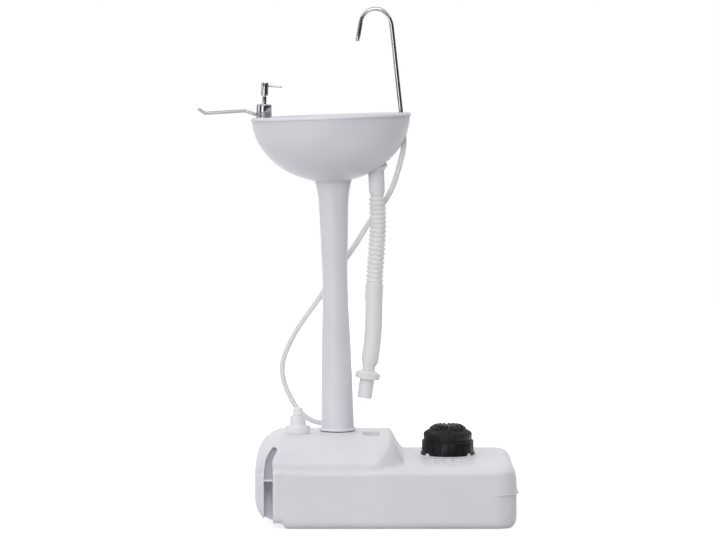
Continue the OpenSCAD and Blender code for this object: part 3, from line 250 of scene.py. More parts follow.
class Shape:
    def __init__(self):
        self.verts = []
        self.faces = []

    def loft(self, rings, closed=False, caps=(True, True)):
        """Skin over rings of equal count, which run counter-clockwise seen from the far end."""
        base = len(self.verts)
        count = len(rings[0])
        for ring in rings:
            self.verts += [tuple(p) for p in ring]
        for i in range(len(rings) if closed else len(rings) - 1):
            low, high = base + i * count, base + (i + 1) % len(rings) * count
            for j in range(count):
                k = (j + 1) % count
                self.faces.append((low + j, low + k, high + k, high + j))
        if not closed and caps[0]:
            self.faces.append(tuple(base + j for j in reversed(range(count))))
        if not closed and caps[1]:
            top = base + (len(rings) - 1) * count
            self.faces.append(tuple(top + j for j in range(count)))
        return self

    def lathe(self, profile, sides=96, steps=4):
        """Turns a profile about Z: closed on the axis where it starts and ends there, else on itself."""
        line = filleted(profile, steps)
        open_ends = line[0][0] == 0 and line[-1][0] == 0
        inner = [p for p in line if p[0] > 0]
        rings = [[(r * c, r * s, z) for c, s in around(sides)] for r, z in inner]
        return self.loft(rings, closed=not open_ends)

    def rod(self, r, low, high):
        return self.lathe([(0, low), (r, low), (r, high), (0, high)])

    def tube(self, inner, outer, low, high):
        return self.lathe([(inner, low), (outer, low), (outer, high), (inner, high)])

    def block(self, low, high, place=None):
        """Box between two corners."""
        (a, b, c), (d, e, f) = low, high
        corners = [(a, b, c), (d, b, c), (d, e, c), (a, e, c)], [(a, b, f), (d, b, f), (d, e, f), (a, e, f)]
        if place:
            corners = [[tuple(place @ Vector(p)) for p in ring] for ring in corners]
        return self.loft(corners)

    def sweep(self, curve, radii, sides=24, caps=(True, True)):
        """Round rod along a curve, with one radius or one for each point."""
        if not hasattr(radii, "__len__"):
            radii = [radii] * len(curve)
        return self.loft([hoop(p, d, r, sides) for p, d, r in zip(curve, headings(curve), radii)], caps=caps)

    def mesh(self, name, place=HOME):
        data = bpy.data.meshes.new(name)
        data.from_pydata([tuple(c * MM for c in v) for v in self.verts], [], self.faces)
        data.transform(place)
        bm = bmesh.new()
        bm.from_mesh(data)
        bmesh.ops.recalc_face_normals(bm, faces=bm.faces)
        bm.to_mesh(data)
        bm.free()
        return data

    def made(self, name, place=HOME):
        """Object of this shape, with its surfaces smooth and its corners crisp."""
        piece = bpy.data.objects.new(name, self.mesh(name, place))
        bpy.context.scene.collection.objects.link(piece)
        smooth(piece)
        return piece


def smooth(piece, angle=35):
    piece.data.shade_smooth()
    piece.data.set_sharp_from_angle(angle=math.radians(angle))


def settle(piece):
    """Bakes the piece's modifiers into its mesh."""
    bpy.context.view_layer.update()
    baked = bpy.data.meshes.new_from_object(piece.evaluated_get(bpy.context.evaluated_depsgraph_get()))
    piece.modifiers.clear()
    piece.data = baked


def cut(piece, *tools, keep=False):
    """Takes each tool's shape out of the piece, or keeps only what lies inside it."""
    for tool in tools:
        modifier = piece.modifiers.new("cut", "BOOLEAN")
        modifier.object = tool
        modifier.operation = "INTERSECT" if keep else "DIFFERENCE"
        modifier.solver = "EXACT"
        settle(piece)
        bpy.data.objects.remove(tool)


def fit(piece, material, body="stand", stands_for=()):
    """Gives a piece its material, and joins it to the CAD body that carries it."""
    stands_for = stands_for or (piece.name.removesuffix("_form"),)
    piece.data.materials.clear()
    piece.data.materials.append(material)
    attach(piece, body)
    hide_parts(*stands_for)
    return piece


def joined(piece, other):
    """Adds the other object's mesh to the piece's."""
    bm = bmesh.new()
    bm.from_mesh(piece.data)
    bm.from_mesh(other.data)
    bm.to_mesh(piece.data)
    bm.free()
    bpy.data.objects.remove(other)


# Hoses

WASTE_ROUTE = [(-17.2, 0, 668), (-16.7, 0, 655), (-16, 0, 640), (-15, 0, 610), (-15.5, 0, 580), (-17.5, 0, 545),
               (-20, 0, 510), (-22, 0, 475), (-23, 0, 440), (-23, 0, 410), (-24.5, 0, 380), (-27, 0, 352),
               (-30, 0, 328), (-32.5, 0, 312), (-33.9, 0, 302)]
SUPPLY_ROUTE = [(35.3, 0, 785.4), (36.9, 0, 770), (36.8, 1, 754), (34, 4, 736), (29.5, 9, 718), (24.5, 14, 700),
                (16, 20, 674), (4.5, 27, 650), (-14, 34, 622), (-36, 40, 592), (-56, 44, 559), (-73, 46, 534),
                (-101, 47, 494), (-129, 46, 450), (-157, 44, 412), (-179, 41, 380), (-195, 38, 350),
                (-206, 36, 322), (-209, 35, 296), (-204, 35, 270), (-193, 36, 244), (-178, 38, 219),
                (-161, 42, 202), (-146, 46, 193), (-132, 50, 189), (-122, 52, 188.5), (-112.5, 52, 188.5)]


def waste_hose():
    """Corrugated for its first 190 mm, then plain, and drawn in to its end fitting."""
    curve = through(WASTE_ROUTE, 10)
    run = lengths(curve)
    total = run[-1]
    ribs, ribs_from, ribs_to = 19, 17, 190
    pitch = (ribs_to - ribs_from) / ribs
    stops = [(0, 12.8), (ribs_from - 1, 12.8), (ribs_from, 14.4)]
    for i in range(ribs):
        for t, r in ((0.06, 14.6), (0.18, 15.2), (0.28, 16.5), (0.38, 17.0), (0.6, 17.0), (0.7, 16.5), (0.8, 15.2),
                     (0.92, 14.6)):
            stops.append((ribs_from + (i + t) * pitch, r))
    stops += [(ribs_to + 0.6, 14.8), (ribs_to + 1.6, 16.6), (ribs_to + 3, 17.4)]
    stops += [(s, 17.5) for s in range(ribs_to + 5, int(total - 22), 8)]
    stops += [(total - 21, 17.45), (total - 18, 17.1), (total - 14, 15.9), (total - 10, 14.0), (total - 7, 13.0),
              (total - 5, 12.8), (total, 12.8)]

    def ring(s, r):
        ahead, behind = at(curve, run, min(total, s + 6)), at(curve, run, max(0, s - 6))
        return hoop(at(curve, run, s), ahead - behind, r, 48)

    bore_r = 11.5
    rings = [ring(s, r) for s, r in stops]
    rings += [ring(s, bore_r) for s in (total, total - 30, 285, 240, 200, 150, 110, 75, 40, 0)]
    piece = fit(Shape().loft(rings, closed=True).made("drain_hose_form"), white_pvc)


def supply_hose():
    """Plain tube that loops down behind the column and the cap to the elbow at the column's foot."""
    curve = through(SUPPLY_ROUTE, 6)
    piece = fit(Shape().sweep(curve, 5.5).made("supply_hose_form"), milky_pvc)


def hose_end():
    nut = Shape().lathe([(11.5, 0.3), (13.4, 0.3, 0.3), (22.3, 4.8, 3), (24.4, 6.4, 2), (24.4, 17.8, 1.2),
                         (16.2, 17.8, 0.4), (16.2, 11.8), (11.5, 11.8)])
    grips = 28
    for i in range(grips):
        nut.block((24.2, -0.9, 7.4), (25.0, 0.9, 16.4), turned("Z", 360 / grips * i))
    fit(nut.made("hose_end_nut_form", HOSE_END), polypropylene)
    nozzle = Shape().lathe([(15.9, 11.9), (15.9, 14.2), (15, 14.2), (15, 44, 0.2), (15.25, 44.4, 0.2),
                            (15.25, 45.6, 0.2), (14.9, 46, 0.2), (14.6, 57.4, 1.4), (11.6, 57.4, 0.8),
                            (11.6, 11.9)])
    fit(nozzle.made("drain_nozzle_form", HOSE_END), polypropylene)


# Tank

HALF_L, HALF_D, TOP, LOW_TOP, WALL_TOP = 260.3, 160.0, 177.0, 124.0, 112.0


def draw_in(u, a, b):
    """How far a rounded end draws in at distance u from it, over a length a and a height b."""
    return 0 if u >= a else b * (1 - math.sqrt(max(0, 1 - (1 - u / a) ** 2)))


def ease(t):
    t = min(1, max(0, t))
    return t * t * (3 - 2 * t)


def tall_side():
    """Upper half of the tall end's cross-section, from the wall's top over the ledge to the middle."""
    d = HALF_D
    side = [(d, WALL_TOP - 4), (d - 0.8, WALL_TOP - 1), (d - 2.5, WALL_TOP), (d - 5, WALL_TOP + 0.6),
            (d - 6.5, WALL_TOP + 4)]
    for a in (12, 25, 38, 50, 62, 72, 81, 90):
        a = math.radians(a)
        side.append((60 + (d - 67) * math.cos(a), WALL_TOP + 6 + (TOP - WALL_TOP - 6) * math.sin(a)))
    return side + [(30, TOP + 0.42), (0, TOP + 0.6)]


def low_edge(inward, upward):
    """Edge of the low end, rounded over a distance inward and a rise upward."""
    side = [(HALF_D, WALL_TOP - 6)]
    for b in range(10, 91, 10):
        b = math.radians(b)
        side.append((HALF_D - inward * (1 - math.cos(b)),
                     WALL_TOP - 4 + (LOW_TOP - WALL_TOP + upward) * math.sin(b)))
    return side


def low_side():
    d = HALF_D
    return low_edge(45, 4) + [(d - 60, LOW_TOP + 0.1), (d - 85, LOW_TOP + 0.2), (45, LOW_TOP + 0.4),
                              (22, LOW_TOP + 0.5), (0, LOW_TOP + 0.6)]


def back_side():
    """The low end's back edge is tighter than its front edge, and stands a little higher."""
    d = HALF_D
    return low_edge(11, 7) + [(d - 33, LOW_TOP + 3), (d - 44, LOW_TOP + 0.8), (d - 54, LOW_TOP + 0.2),
                              (22, LOW_TOP + 0.4), (0, LOW_TOP + 0.6)]


def dense(side, parts=4):
    return [(p[0], p[2]) for p in through([(y, 0, z) for y, z in side], parts)]


TALL, LOW, BACK = dense(tall_side()), dense(low_side()), dense(back_side())


def tank_section(x):
    """Cross-section at x: the floor, then the back and the front up to the middle of the top."""
    left, right = HALF_L + x, HALF_L - x
    depth = (HALF_D - draw_in(left, 45, 45) - draw_in(right, 45, 45)) / HALF_D
    floor = draw_in(left, 42, 50) + draw_in(right, 18, 18) + 11 * (1 - ease((x + 207) / 11))
    drop = draw_in(left, 60, 60) + draw_in(right, 25, 25)

    def half(low):
        side = [(0, floor), (75 * depth, floor)]
        for b in range(0, 91, 15):
            b = math.radians(b)
            side.append(((HALF_D - 16 + 16 * math.sin(b)) * depth, floor + 16 * (1 - math.cos(b))))
        for (ty, tz), (ly, lz) in zip(TALL, low):
            c = min(1, max(0, (ty - (HALF_D - 60)) / 60))
            f = 1 - ease((x - 6 + 56 * (1 - math.sqrt(1 - c * c))) / 34)
            y, z = ty * f + ly * (1 - f), tz * f + lz * (1 - f)
            full = TOP * f + LOW_TOP * (1 - f)
            side.append((y * depth, floor + z * (full - drop - floor) / full))
        return side

    return [(x, y, z) for y, z in half(BACK)] + [(x, -y, z) for y, z in half(LOW)[-2:0:-1]]


def stadium(r, low, high, steps=12):
    """Outline of a slot with half-round ends, as (across, along) points."""
    out = []
    for j in range(2 * steps):
        a = math.pi * (j + 0.5) / steps
        out.append((r * math.cos(a), r * math.sin(a) + (high if math.sin(a) > 0 else low)))
    return out


def grip_tool(side):
    """Slot at the front (side -1) or the back (side 1) of the tall end: open below, bent over at its top."""
    middle = [(0, 0, -20), (0, 0, 50), (0, 0, 121), (2.5, 0, 139), (11, 0, 154)]
    line = [Vector((p[0], p[2])) for p in through(middle, 5)]
    way = headings(line)
    across = [Vector((d.y, -d.x)) for d in way]

    def outline(r, flare):
        radii = [r * (1 - 0.36 * ease((p.y - 105) / 45)) for p in line]
        tip = [line[-1] + radii[-1] * (math.cos(a) * across[-1] + math.sin(a) * way[-1])
               for a in (math.radians(b) for b in range(15, 180, 15))]
        right = [c + q * n for c, q, n in zip(line, radii, across)]
        left = [c - (q + flare) * n for c, q, n in zip(line, radii, across)]
        return right + tip + left[::-1]

    r, slot_x, bottom = 8.5, -231.8, HALF_D - 48
    steps = [(HALF_D + 6, r, 5), (HALF_D - 1, r, 4.2), (HALF_D - 5, r, 2.2), (HALF_D - 9, r, 0.8),
             (HALF_D - 14, r, 0), (bottom, r, 0)]
    steps += [(bottom - r * math.sin(math.radians(a)), r * math.cos(math.radians(a)), 0) for a in (25, 50, 70, 85)]
    return Shape().loft([[(slot_x + q.x, side * y, q.y) for q in outline(rr, flare)]
                         for y, rr, flare in steps]).made("grip_tool")


def rounded_disc(shape, x, y, low, high, r, fillet):
    """Adds a disc whose upper edge is rounded to a shape."""
    part = Shape().lathe([(0, low), (r, low), (r, high, fillet), (0, high)])
    base = len(shape.verts)
    shape.verts += [(v[0] + x, v[1] + y, v[2]) for v in part.verts]
    shape.faces += [tuple(base + i for i in f) for f in part.faces]


def reskin(form, voxel):
    remesh = form.modifiers.new("skin", "REMESH")
    remesh.mode = "VOXEL"
    remesh.voxel_size = voxel


def tank():
    """Blow-moulded in one: every edge is rounded by the parison's stretch, so the form is remeshed and eased."""
    ends = [0, 0.4, 1.5, 3.2, 5.5, 8.5, 12, 16, 20.5, 25.5, 31, 37, 43.5, 51, 60]
    stations = [-HALF_L + u for u in ends[:-1]]
    stations += [-207, -205, -203, -201, -199, -197, -195.5, -188, -170, -150, -125, -100]
    stations += [-84 + 3.5 * i for i in range(44)]
    stations += [85, 110, 140, 170, HALF_L - 70] + [HALF_L - u for u in reversed(ends[:-1])]
    body = Shape().loft([tank_section(x) for x in stations])
    rounded_disc(body, COLUMN_X, 0, 170, COLUMN_SEAT, 43, 1.2)
    rounded_disc(body, PUMP_X, PUMP_Y, 110, 126.5, 58, 1.6)
    rounded_disc(body, CAP_X, CAP_Y, 170, 190, 21, 0.8)
    form = body.made("tank_shell_form")
    reskin(form, 0.0021)
    settle(form)
    trough = Shape().loft([[(-28.5 + p[0], p[1], z) for p in stadium(r, -54, -12)]
                           for z, r in ((146, 12), (147, 14.6), (150, 16), (176, 16.2), (178.5, 18), (200, 19))])
    socket = Shape().rod(31.5, 153.5, 230)
    groove = Shape()
    for y, near, far in ((0, -25, 30), (-72, -21, 34)):
        tilt = Matrix.Translation((22, y, 154.5)) @ turned("Y", 66)
        groove.block((near, -2, -3), (far, 2, 14), tilt)
    bore = Shape().lathe([(0, 88), (25, 88), (25, 124.5), (30.5, 124.5), (30.5, 160), (0, 160)])
    neck = Shape().rod(18.5, 150, 230)
    elbow = Shape().rod(7.4, 157, 230)
    cut(form, grip_tool(-1), grip_tool(1), trough.made("trough_tool"),
        socket.made("socket_tool", moved(COLUMN_X, 0, 0)), groove.made("groove_tool"),
        bore.made("bore_tool", moved(PUMP_X, PUMP_Y, 0)), neck.made("neck_tool", moved(CAP_X, CAP_Y, 0)),
        elbow.made("elbow_tool", moved(-98, 52, 0)))
    reskin(form, 0.0019)
    ease_edges = form.modifiers.new("ease", "SMOOTH")
    ease_edges.factor = 0.5
    ease_edges.iterations = 4
    settle(form)
    form.data.shade_smooth()
    # Parting fin round the low end, pads for the foot, lugs round the pump and a bar across each slot
    details = Shape()
    fin, fin_r = [-85, -75, -60, -45, -30, -15, 0], 49
    outline = [(HALF_L - 45 + fin_r * math.cos(math.radians(a)), -115 + fin_r * math.sin(math.radians(a)))
               for a in fin]
    outline += [(x, -y) for x, y in reversed(outline)]
    details.loft([[(x, y, z) for x, y in outline] for z in (68, 70)])
    for i in range(-2, 3):
        for j in range(3):
            x, y = PUMP_X + 17 * i, -28 - 32 * j
            pad = [(x + sx * (6.7 - e), y + sy * (10 - e)) for e in (0, 1.2)
                   for sx, sy in ((-1, -1), (1, -1), (1, 1), (-1, 1))]
            details.loft([[(*p, 123) for p in pad[:4]], [(*p, 124.9) for p in pad[:4]],
                          [(*p, 125.6) for p in pad[4:]]])
    for a in PUMP_LUGS:
        details.block((51, -4.6, -5), (55, 4.6, 3),
                      Matrix.Translation((PUMP_X, PUMP_Y, PUMP_SEAT)) @ turned("Z", a))
    for y in (-156.3, 104.5):
        details.block((-241.3, y, 96), (-222.3, y + 51.8, 98.5))
    extra = details.made("details")
    smooth(extra, 30)
    joined(form, extra)
    fit(form, hdpe)


# Filler cap

def filler_cap():
    cap = Shape().lathe([(21.6, 1.2), (25, 1.2, 0.8), (25, 16, 3.5), (16, 16, 1), (16, 36, 1.6), (8.2, 36, 0.5),
                         (8.2, 31), (12, 31), (12, 14), (21.6, 14)])
    fit(cap.made("fill_cap_form", CAP), polypropylene, "fill_cap")
    stub = Shape().lathe([(4, 25), (8, 25), (8, 36.3), (10, 36.3, 0.4), (10, 49.3, 2), (8.4, 51.8, 0.8),
                          (4, 51.8, 0.4)])
    fit(stub.made("vent_stub_form", CAP), polypropylene, "fill_cap")


# Foot pump

def pump():
    """Housing with a wall of 20 panels, notched over the tank's lugs, with its ring and its tread."""
    sides, panels = 480, 20

    def wall(z, r_panel, r_gap):
        ring = []
        for j, (c, s) in enumerate(around(sides)):
            t = j / sides * panels % 1
            share = ease((t - 0.03) / 0.05) * ease((0.97 - t) / 0.05)
            r = r_gap + (r_panel - r_gap) * share
            ring.append((r * c, r * s, z))
        return ring

    rings = [wall(z, r, g) for z, r, g in ((0.1, 54.6, 54.6), (0.4, 55.4, 55.4), (3, 55.4, 55.4), (3.5, 54.6, 54.6),
                                           (3.6, 52.8, 51.2), (22.6, 52.8, 51.2), (23.6, 52.2, 51.2), (24, 51.4, 51.4),
                                           (24, 49.4, 49.4), (3.5, 49.4, 49.4), (3.5, 11, 11), (12, 11, 11),
                                           (12, 6.06, 6.06), (0.1, 6.06, 6.06))]
    housing = Shape().loft(rings, closed=True).made("pump_housing_form", PUMP)
    notches = Shape()
    for a in PUMP_LUGS:
        notches.block((50.6, -5, -1), (60, 5, 3.6), turned("Z", a))
    cut(housing, notches.made("notches", PUMP))
    smooth(housing)
    fit(housing, black_abs)
    ring = Shape().lathe([(49.4, 24), (53, 24, 0.3), (53, 27.6, 1.2), (49.4, 27.6, 0.4)], 160)
    fit(ring.made("pump_retainer_form", PUMP), black_abs)
    fit(tread().made("pump_tread_form", PUMP), black_abs, "pump_tread")


def tread():
    """Stepped dome that the foot presses: 18 broad ribs swirl over its top step, finer ones over the lower."""
    line = filleted([(0.4, 57), (26, 57, 1), (29, 55.4, 1), (35.5, 51, 1), (37, 48.6, 0.8), (45.9, 43.4, 1.5),
                     (48.6, 40, 1.5), (48.6, 24, 0.6), (45.5, 24), (45.5, 39.5), (33.5, 46.5), (25, 55.1),
                     (0.4, 55.1)], 4)
    fine = []
    for a, b in zip(line, line[1:]):
        ribbed = min(a[1], b[1]) > 41 and min(a[0], b[0]) > 15 and a[1] > b[1] - 0.01
        parts = max(1, int((b - a).length / 1.1)) if ribbed else 1
        fine += [a.lerp(b, k / parts) for k in range(parts)]
    fine.append(line[-1])
    sides, ribs, swirl, broad_rib, fine_rib = 720, 18, 0.055, 3.0, 1.9

    def swell(share, low, high, soft):
        return ease((share - low) / soft) * ease((high - share) / soft)

    rings = []
    outside = True
    for r, z in fine:
        outside = outside and z > 30
        ring = []
        for j, (c, s) in enumerate(around(sides)):
            turn = j / sides * ribs + (r - 21) * swirl
            top = broad_rib * swell(turn % 1, 0.2, 0.8, 0.1) * swell(r, 20.5, 38, 2.2)
            low = (fine_rib * swell((turn * 2 + 0.4) % 1, 0.12, 0.88, 0.2) * swell(r, 38.2, 52, 1.2)
                   * ease((z - 32) / 3))
            lift = (top + low) if outside else 0
            ring.append(((r + lift * 0.35) * c, (r + lift * 0.35) * s, z + lift * 0.85))
        rings.append(ring)
    return Shape().loft(rings)


def spring(name, place, coil_r, wire, turns, low, high):
    """Return spring of round wire."""
    parts = 36
    rings = []
    for i in range(turns * parts + 1):
        a, z = 2 * math.pi * i / parts, low + (high - low) * i / (turns * parts)
        rings.append([((coil_r + wire * c) * math.cos(a), (coil_r + wire * c) * math.sin(a), z + wire * s)
                      for c, s in around(12)])
    piece = fit(Shape().loft(rings).made(name + "_form", place), drawn_steel)
    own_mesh(piece)


# Column

def column():
    """A blow-moulded tube with a soft waist; wider at its foot, flared under the basin."""
    foot, waist, head, length = 33.4, 25.1, 36.2, 501.5
    knots = [(0, foot), (0.31, waist + (foot - waist) * 0.57), (0.5, waist + (foot - waist) * 0.14), (0.625, waist),
             (0.79, waist + (head - waist) * 0.21), (0.915, waist + (head - waist) * 0.41),
             (0.965, waist + (head - waist) * 0.64), (1, head)]
    side = [(p[1], p[0] * length) for p in through([(t, r, 0) for t, r in knots], 10)]
    profile = [(27.5, -24), (30.5, -24, 0.8), (30.5, -0.8), (foot, -0.8)] + side
    profile += [(head, length + 3), (head - 3, length + 3)] + [(r - 3, s) for r, s in reversed(side)]
    form = Shape().lathe(profile, 128).made("column_form", COLUMN)
    cut(form, Shape().block((-60, -60, 0), (60, 60, 60)).made("basin_plane", BASIN),
        Shape().tube(31.1, 60, -9, 0).made("seat_plane", FOOT))
    smooth(form)
    fit(form, hdpe)
    # Collar round the column's foot, its lowest 1.6 mm made a band of black rubber that draws the dark line below it
    collar = Shape().lathe([(33.8, 1.7), (35.9, 1.7, 0.4), (35.9, 7.5, 1.2), (33.8, 7.5, 0.4)], 128)
    fit(collar.made("column_collar_form", FOOT), polypropylene)
    dark_band = Shape().lathe([(33.8, 0.05), (35.5, 0.05, 0.3), (35.5, 1.65, 0.3), (33.8, 1.65)], 128)
    fit(dark_band.made("collar_seal_form", FOOT), nitrile, stands_for=("column_collar",))


# Basin

def oval(a, b, cx, h, count=160):
    return [(cx + a * c, b * s, h) for c, s in around(count)]


def bowl_ring(angle, grow, count=160):
    """Ring of the bowl from its edge (0) to the well round the drain (90)."""
    deck, well, well_r, mouth_x, drain_x, half_a, half_b, square = 128, 50, 23.5, 5, 87, 119, 128, 0.87
    a = math.radians(angle)
    k, deep = math.cos(a) ** (2 / 2.8), math.sin(a) ** (2 / 2.8)
    h = deck - deep * (deck - well - 10 * k) - grow * deep
    cx = mouth_x + (drain_x - mouth_x) * (1 - k)
    ra, rb = well_r + (half_a - well_r) * k + grow, well_r + (half_b - well_r) * k + grow
    top = min(h, 125 if grow > 1 else deck)
    return [(cx + ra * math.copysign(abs(c) ** square, c), rb * math.copysign(abs(s) ** square, s), top)
            for c, s in around(count)]


def basin():
    """The bowl with its deck and rolled rim, and the outer skin that hangs from the rim."""
    rim_a, rim_b = 161.3, 148.3
    rings = [bowl_ring(a, 3) for a in (90, 86, 80, 72, 63, 54, 45, 36, 27, 19, 12, 7, 3, 1)]
    rings += [oval(rim_a - d, rim_b - d, 0, h) for d, h in (
        (6.7, 125), (6.7, 133), (2.7, 133), (2.7, 129), (2.2, 128.8), (0.6, 128.8), (0.1, 129.2), (0, 130),
        (0.3, 131.2), (0.9, 132.6), (1.7, 133.8), (2.7, 134.8), (3.8, 135.6), (5, 136.1), (6.4, 136.1),
        (7.6, 135.6), (8.5, 134.6), (9, 133), (9.3, 130.4), (9.7, 129), (10.6, 128.2), (12, 128))]
    for grow, h in ((3.2, 128), (2.0, 127.75), (1.0, 127.1), (0.4, 126.2)):
        rings.append([(5 + (x - 5) * (1 + grow / 119), y * (1 + grow / 119), h) for x, y, _ in bowl_ring(0, 0)])
    rings += [bowl_ring(a, 0) for a in (0.6, 1.5, 3, 5, 8, 11, 15, 19, 24, 29, 35, 41, 48, 55, 62, 69, 75, 80, 84, 87,
                                        89, 90)]
    bowl = Shape().loft(rings)
    form = bowl.made("basin_bowl_form", BASIN)
    for place, r, hole, name in ((SOAP, 17, 9.8, "soap"), (TAP, 12, 6.3, "tap")):
        pad = Shape().lathe([(hole, -4.6), (r, -4.6), (r, 0, 0.9), (hole, 0)]).made(name + "_pad", place)
        cut(form, Shape().rod(hole, -20, 20).made("hole", place))
        joined(form, pad)
    cut(form, Shape().rod(14, 20, 60).made("drain_tool", DRAIN))
    joined(form, Shape().tube(14, 19, 40.1, 48.5).made("drain_boss", DRAIN))
    smooth(form, 40)
    fit(form, hdpe)

    def skin(h, wall):
        k = math.sqrt(max(0.001, 1 - ((136 - h) / (135 - wall)) ** 2))
        return oval((159.3 - wall) * k, (146.3 - wall) * k, 0, h)

    levels = [4.51, 5.2, 6.2, 7.5, 9.2, 11.4, 14, 17.5, 21.5, 26, 31, 36.5, 42.5, 49, 56, 63.5, 71.5, 80, 88.5, 97,
              105.5, 113.5, 121, 128.7]
    rings = [skin(h, 0) for h in levels]
    rings += [oval(rim_a - d, rim_b - d, 0, h) for d, h in ((3.1, 128.7), (3.1, 132.7), (6.3, 132.7), (6.3, 126))]
    rings += [skin(h, 3) for h in (118, 105, 90, 75, 60, 46, 34, 24, 16, 11, 7.5)]
    form = Shape().loft(rings).made("basin_shroud_form", BASIN)
    outside = Shape().loft([skin(h, 0.05) for h in levels]).made("outside", BASIN)
    cup = Shape().lathe([(14, 37), (23.3, 37), (23.3, 2), (26.3, 2), (26.3, 40), (14, 40)]).made("cup", DRAIN)
    cut(cup, outside, keep=True)
    cut(form, Shape().rod(23.3, -5, 37).made("pocket_tool", DRAIN),
        Shape().rod(25.7, -5, 40).made("sleeve_tool", BASIN),
        Shape().rod(9.5, -115, -17).made("hose_tool", TAP))
    joined(form, Shape().lathe([(25.7, 0.2), (37, 0.2, 1.6), (37, 8.2), (25.7, 8.2)]).made("neck_ring", BASIN))
    joined(form, Shape().tube(25.7, 28.7, 4, 32).made("sleeve_wall", BASIN))
    joined(form, cup)
    smooth(form, 40)
    fit(form, hdpe)


# Waste fittings under the basin

def waste_fittings():
    nut = Shape().lathe([(13.3, 21.2), (17.5, 21.2, 0.4), (20.4, 27.2, 1.5), (22, 27.2, 1), (22, 35.2, 1),
                         (13.3, 35.2)])
    for i in range(24):
        nut.block((21.7, -0.9, 28.4), (22.4, 0.9, 34.2), turned("Z", 15 * i))
    fit(nut.made("drain_nut_form", DRAIN), polypropylene)
    cuff = Shape().lathe([(13.4, -28), (14.5, -28, 0.6), (14.5, -23, 0.3), (16, -22, 0.6), (16, -4, 0.2),
                          (16.35, -3.6, 0.2), (16.35, -2, 0.2), (16, -1.6, 0.2), (16, 20.9, 0.8), (13.4, 20.9)])
    fit(cuff.made("drain_cuff_form", DRAIN), polypropylene)


# Tap

def tap():
    """Gooseneck: a straight rise, then three bends one after another, and a short straight spout."""
    rise = 178
    curve = [Vector((0, 0, -5)), Vector((0, 0, 0))] + [Vector((0, 0, rise * k / 12)) for k in range(1, 13)]
    p, a = Vector((0, 0, rise)), 0.0
    for radius, sweep in ((50, 32), (28, 101), (40, 31)):
        centre = p - radius * Vector((math.cos(a), 0, math.sin(a)))
        count = sweep // 3
        for k in range(1, count + 1):
            b = a + math.radians(sweep) * k / count
            curve.append(centre + radius * Vector((math.cos(b), 0, math.sin(b))))
        a += math.radians(sweep)
        p = curve[-1]
    way = Vector((-math.sin(a), 0, math.cos(a)))
    curve += [p + way * s for s in (12, 24, 34.9, 35.7, 36)]
    radii = [4.5] * (len(curve) - 2) + [4.35, 4.1]
    rings = [hoop(q, d, r, 32) for q, d, r in zip(curve, headings(curve), radii)]
    rings += [hoop(curve[-1], way, 3.4, 32), hoop(curve[-1] - way * 26, way, 3.4, 32)]
    fit(Shape().loft(rings).made("tap_spout_form", TAP), chrome, "tap_spout")
    flange = Shape().lathe([(6.05, 0.1), (9.8, 0.1, 0.2), (9.8, 1.9, 0.9), (7.6, 3.7, 1.4), (5.9, 4.4, 0.4), (4.8, 4.4),
                            (4.8, 2.2), (6.05, 2.2)])
    fit(flange.made("tap_flange_form", TAP), chrome)


# Soap dispenser and towel bar

def soap_dispenser():
    base = Shape().lathe([(2.05, -22), (8, -22, 0.5), (8, -11.8), (9.5, -11.8), (9.5, 0), (15.8, 0, 0.4),
                          (15.8, 8, 0.8), (9.5, 8), (9.5, 19.5), (6, 19.5), (6, -20.5), (2.05, -20.5)])
    fit(base.made("soap_base_form", SOAP), chrome)
    collar = Shape().lathe([(9.55, 15.6), (15.8, 15.6, 0.8), (15.8, 30.9, 1.4), (13.2, 33, 1.2), (4.8, 33, 0.3),
                            (4.8, 26.5), (6.8, 26.5), (6.8, 20.2), (9.55, 20.2)])
    fit(collar.made("soap_collar_form", SOAP), chrome)
    guide = Shape().lathe([(2.6, 20), (6.5, 20), (6.5, 26.2), (4.5, 26.2), (4.5, 48, 0.5), (2.6, 48)])
    fit(guide.made("soap_guide_form", SOAP), chrome, "soap_guide")
    head = Shape().lathe([(0, 68), (2.5, 68), (2.5, 63), (4.8, 63), (4.8, 49.5), (7.35, 49.5, 0.4), (7.35, 76, 1.8),
                          (0, 76)])
    fit(head.made("soap_head_form", SOAP), chrome, "soap_head")
    way = Vector((0.9986, 0, -0.0523))
    stops = [(4.2, 1.95), (7.4, 1.95), (8, 2.5), (20, 2.05), (30.5, 1.65), (31.1, 1.7), (31.5, 2.1), (33.6, 2.1),
             (34, 1.9), (34, 0.9), (24, 0.9)]
    nozzle = Shape().loft([hoop(Vector((0, 0, 70)) + way * s, way, r, 24) for s, r in stops])
    fit(nozzle.made("soap_nozzle_form", SOAP), chrome, "soap_head")


def towel_bar():
    ring = Shape().lathe([(9.8, 8.3), (15.8, 8.3, 0.8), (15.8, 15.3, 0.8), (9.8, 15.3)])
    corners = [(-14, 0), (-17, 0), (-21, 0.8), (-36, 5), (-39.5, 5.6), (-44, 5.3), (-114, -1.4), (-118, -1.5),
               (-121.5, 0), (-129.6, 4.8)]
    curve = through([(x, 0, 11.8 + z) for x, z in corners], 6)
    way = (curve[-1] - curve[-2]).normalized()
    tip = [math.radians(a) for a in (20, 40, 60, 80)]
    curve += [curve[-1] + way * 3.2 * math.sin(a) for a in tip]
    radii = [3.35] * (len(curve) - 4) + [3.35 * math.cos(a) for a in tip]
    ring.sweep(curve, radii, 32)
    fit(ring.made("towel_bar_form", SOAP), satin_chrome, "towel_bar")


# Studio: white floor that keeps a soft shadow, the main lamp high in front, weaker ones low and at the left

def direct_view(tree):
    """1 for what the camera sees, also in a mirror or through glass."""
    ray = add(tree, "ShaderNodeLightPath").outputs
    sharp = add(tree, "ShaderNodeMath", {0: ray["Is Glossy Ray"], 1: ray["Is Transmission Ray"]}, operation="MAXIMUM")
    return add(tree, "ShaderNodeMath", {0: ray["Is Camera Ray"], 1: sharp.outputs[0]}, operation="MAXIMUM").outputs[0]


